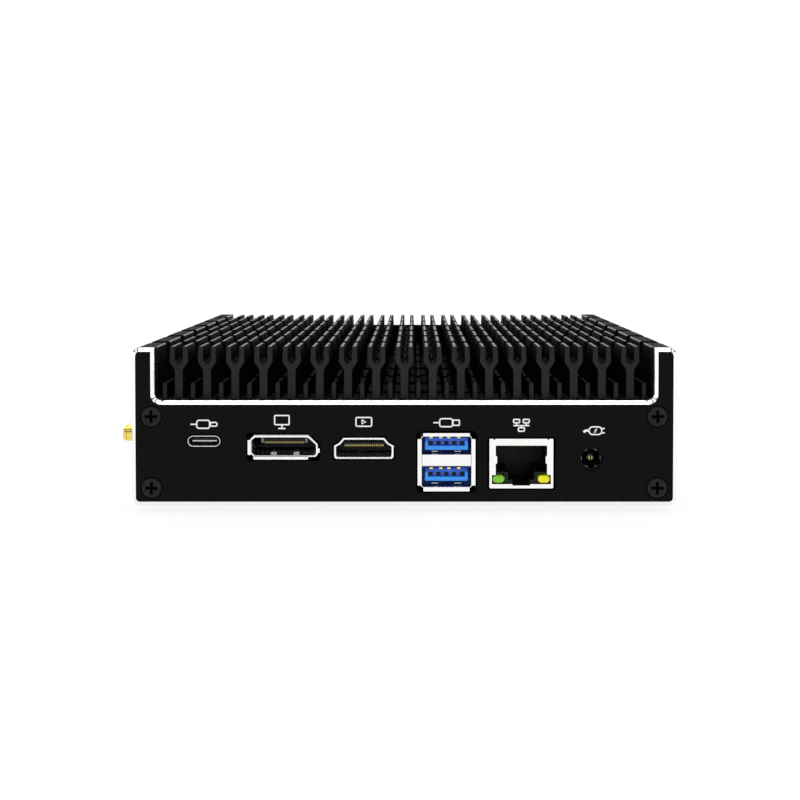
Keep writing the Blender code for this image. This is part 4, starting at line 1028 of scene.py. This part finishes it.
def make_studio():
    """A pale floor that sweeps up into a wall behind, under soft lights, and the camera."""
    floor_level = corners_of("rubber_foot_1")[0].z
    half_width, near, far, height, bend = 3000.0, -2500.0, 2200.0, 2600.0, 700.0
    profile = [(near, floor_level), (far - bend, floor_level)]
    for i in range(1, 17):
        angle = math.pi / 2 * i / 16
        profile.append((far - bend + bend * math.sin(angle), floor_level + bend - bend * math.cos(angle)))
    profile.append((far, floor_level + height))
    bm = bmesh.new()
    rows = [[bm.verts.new(Vector((x, y, z)) * MM) for y, z in profile] for x in (-half_width, half_width)]
    for i in range(len(profile) - 1):
        bm.faces.new((rows[0][i], rows[1][i], rows[1][i + 1], rows[0][i + 1]))
    mesh = bpy.data.meshes.new("studio_floor")
    bm.to_mesh(mesh)
    bm.free()
    mesh.shade_smooth()
    mesh.materials.append(plain("studio_paper", (0.12, 0.12, 0.12), 0.9))
    floor = bpy.data.objects.new("studio_floor", mesh)
    bpy.context.collection.objects.link(floor)

    lights = (
        ("top_softbox", (0, 100, 900), 900, 900, 3.6),
        ("left_softbox", (-900, -60, 130), 600, 600, 1.6),
        ("right_softbox", (900, -60, 130), 600, 600, 1.6),
        ("wall_light", (0, 1000, 1500), 1600, 600, 15.0),
    )
    for name, at, width, length, power in lights:
        light = bpy.data.lights.new(name, "AREA")
        light.shape = "RECTANGLE"
        light.size, light.size_y = width * MM, length * MM
        light.energy = power
        lamp = bpy.data.objects.new(name, light)
        lamp.location = Vector(at) * MM
        target = Vector((0, 0, 20)) if "wall" not in name else Vector((0, 2200, 300))
        lamp.rotation_euler = (target - Vector(at)).to_track_quat("-Z", "Y").to_euler()
        bpy.context.collection.objects.link(lamp)

    camera = bpy.data.cameras.new("camera")
    camera.lens, camera.sensor_width = 51.7, 36.0
    camera.shift_x, camera.shift_y = -0.018, -0.165
    camera.clip_start, camera.clip_end = 0.01, 20
    viewer = bpy.data.objects.new("camera", camera)
    viewer.location = Vector((2.5, -348, 66.8)) * MM
    viewer.rotation_euler = (math.radians(90 - 1.5), 0, 0)
    bpy.context.collection.objects.link(viewer)
    bpy.context.scene.camera = viewer
    bpy.context.scene.view_settings.view_transform = "Standard"


def finish_hidden_pieces():
    """Materials for the CAD nodes that stay as they are."""
    finishes = {
        BOARD: ("mainboard", "memory_module", "ssd_module", "wireless_card"),
        PLASTIC: ("memory_socket", "power_switch", "antenna_lead_1", "antenna_lead_2"),
        ZINC: ("coin_cell", *[f"board_screw_{number}" for number in range(1, 5)]),
        ANODISED: ("bottom_cover",),
        SILICON: ("processor",),
        PAD: ("thermal_pad",),
    }
    for material, nodes in finishes.items():
        for node in nodes:
            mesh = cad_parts[node].data
            mesh.materials.clear()
            mesh.materials.append(material)


def main():
    ports = {
        "usb_c": on_front("usb_c_port_shell"),
        "display": on_front("display_port_insert", 14.7),
        "video": on_front("hd_video_port_shell"),
        "usb": on_front("usb_stack_shell"),
        "ethernet": on_front("ethernet_jack_insert", 10.6),
        "inlet": on_front("dc_jack_pin"),
        "button": on_back("power_button"),
        "light": on_back("status_light_pipe"),
        "audio": on_back("audio_jack", 13.4),
        "rear_usb": on_back("rear_usb_stack_shell"),
    }
    make_case()
    make_panels(ports)
    make_screws()
    make_feet()
    make_usb_c(ports["usb_c"])
    make_display_port(ports["display"])
    make_video_port(ports["video"])
    make_usb_stack("usb_stack", ports["usb"], BLUE, BLUE_PAINTED_LIT_LIP)
    make_usb_stack("rear_usb_stack", ports["rear_usb"], PLASTIC, PLASTIC)
    make_ethernet(ports["ethernet"])
    make_inlet(ports["inlet"])
    for number in (1, 2):
        make_antenna(number)
    make_button(ports["button"])
    make_light_and_audio(ports["light"], ports["audio"])
    make_marks(ports)
    finish_hidden_pieces()
    make_studio()
    make_world()


main()
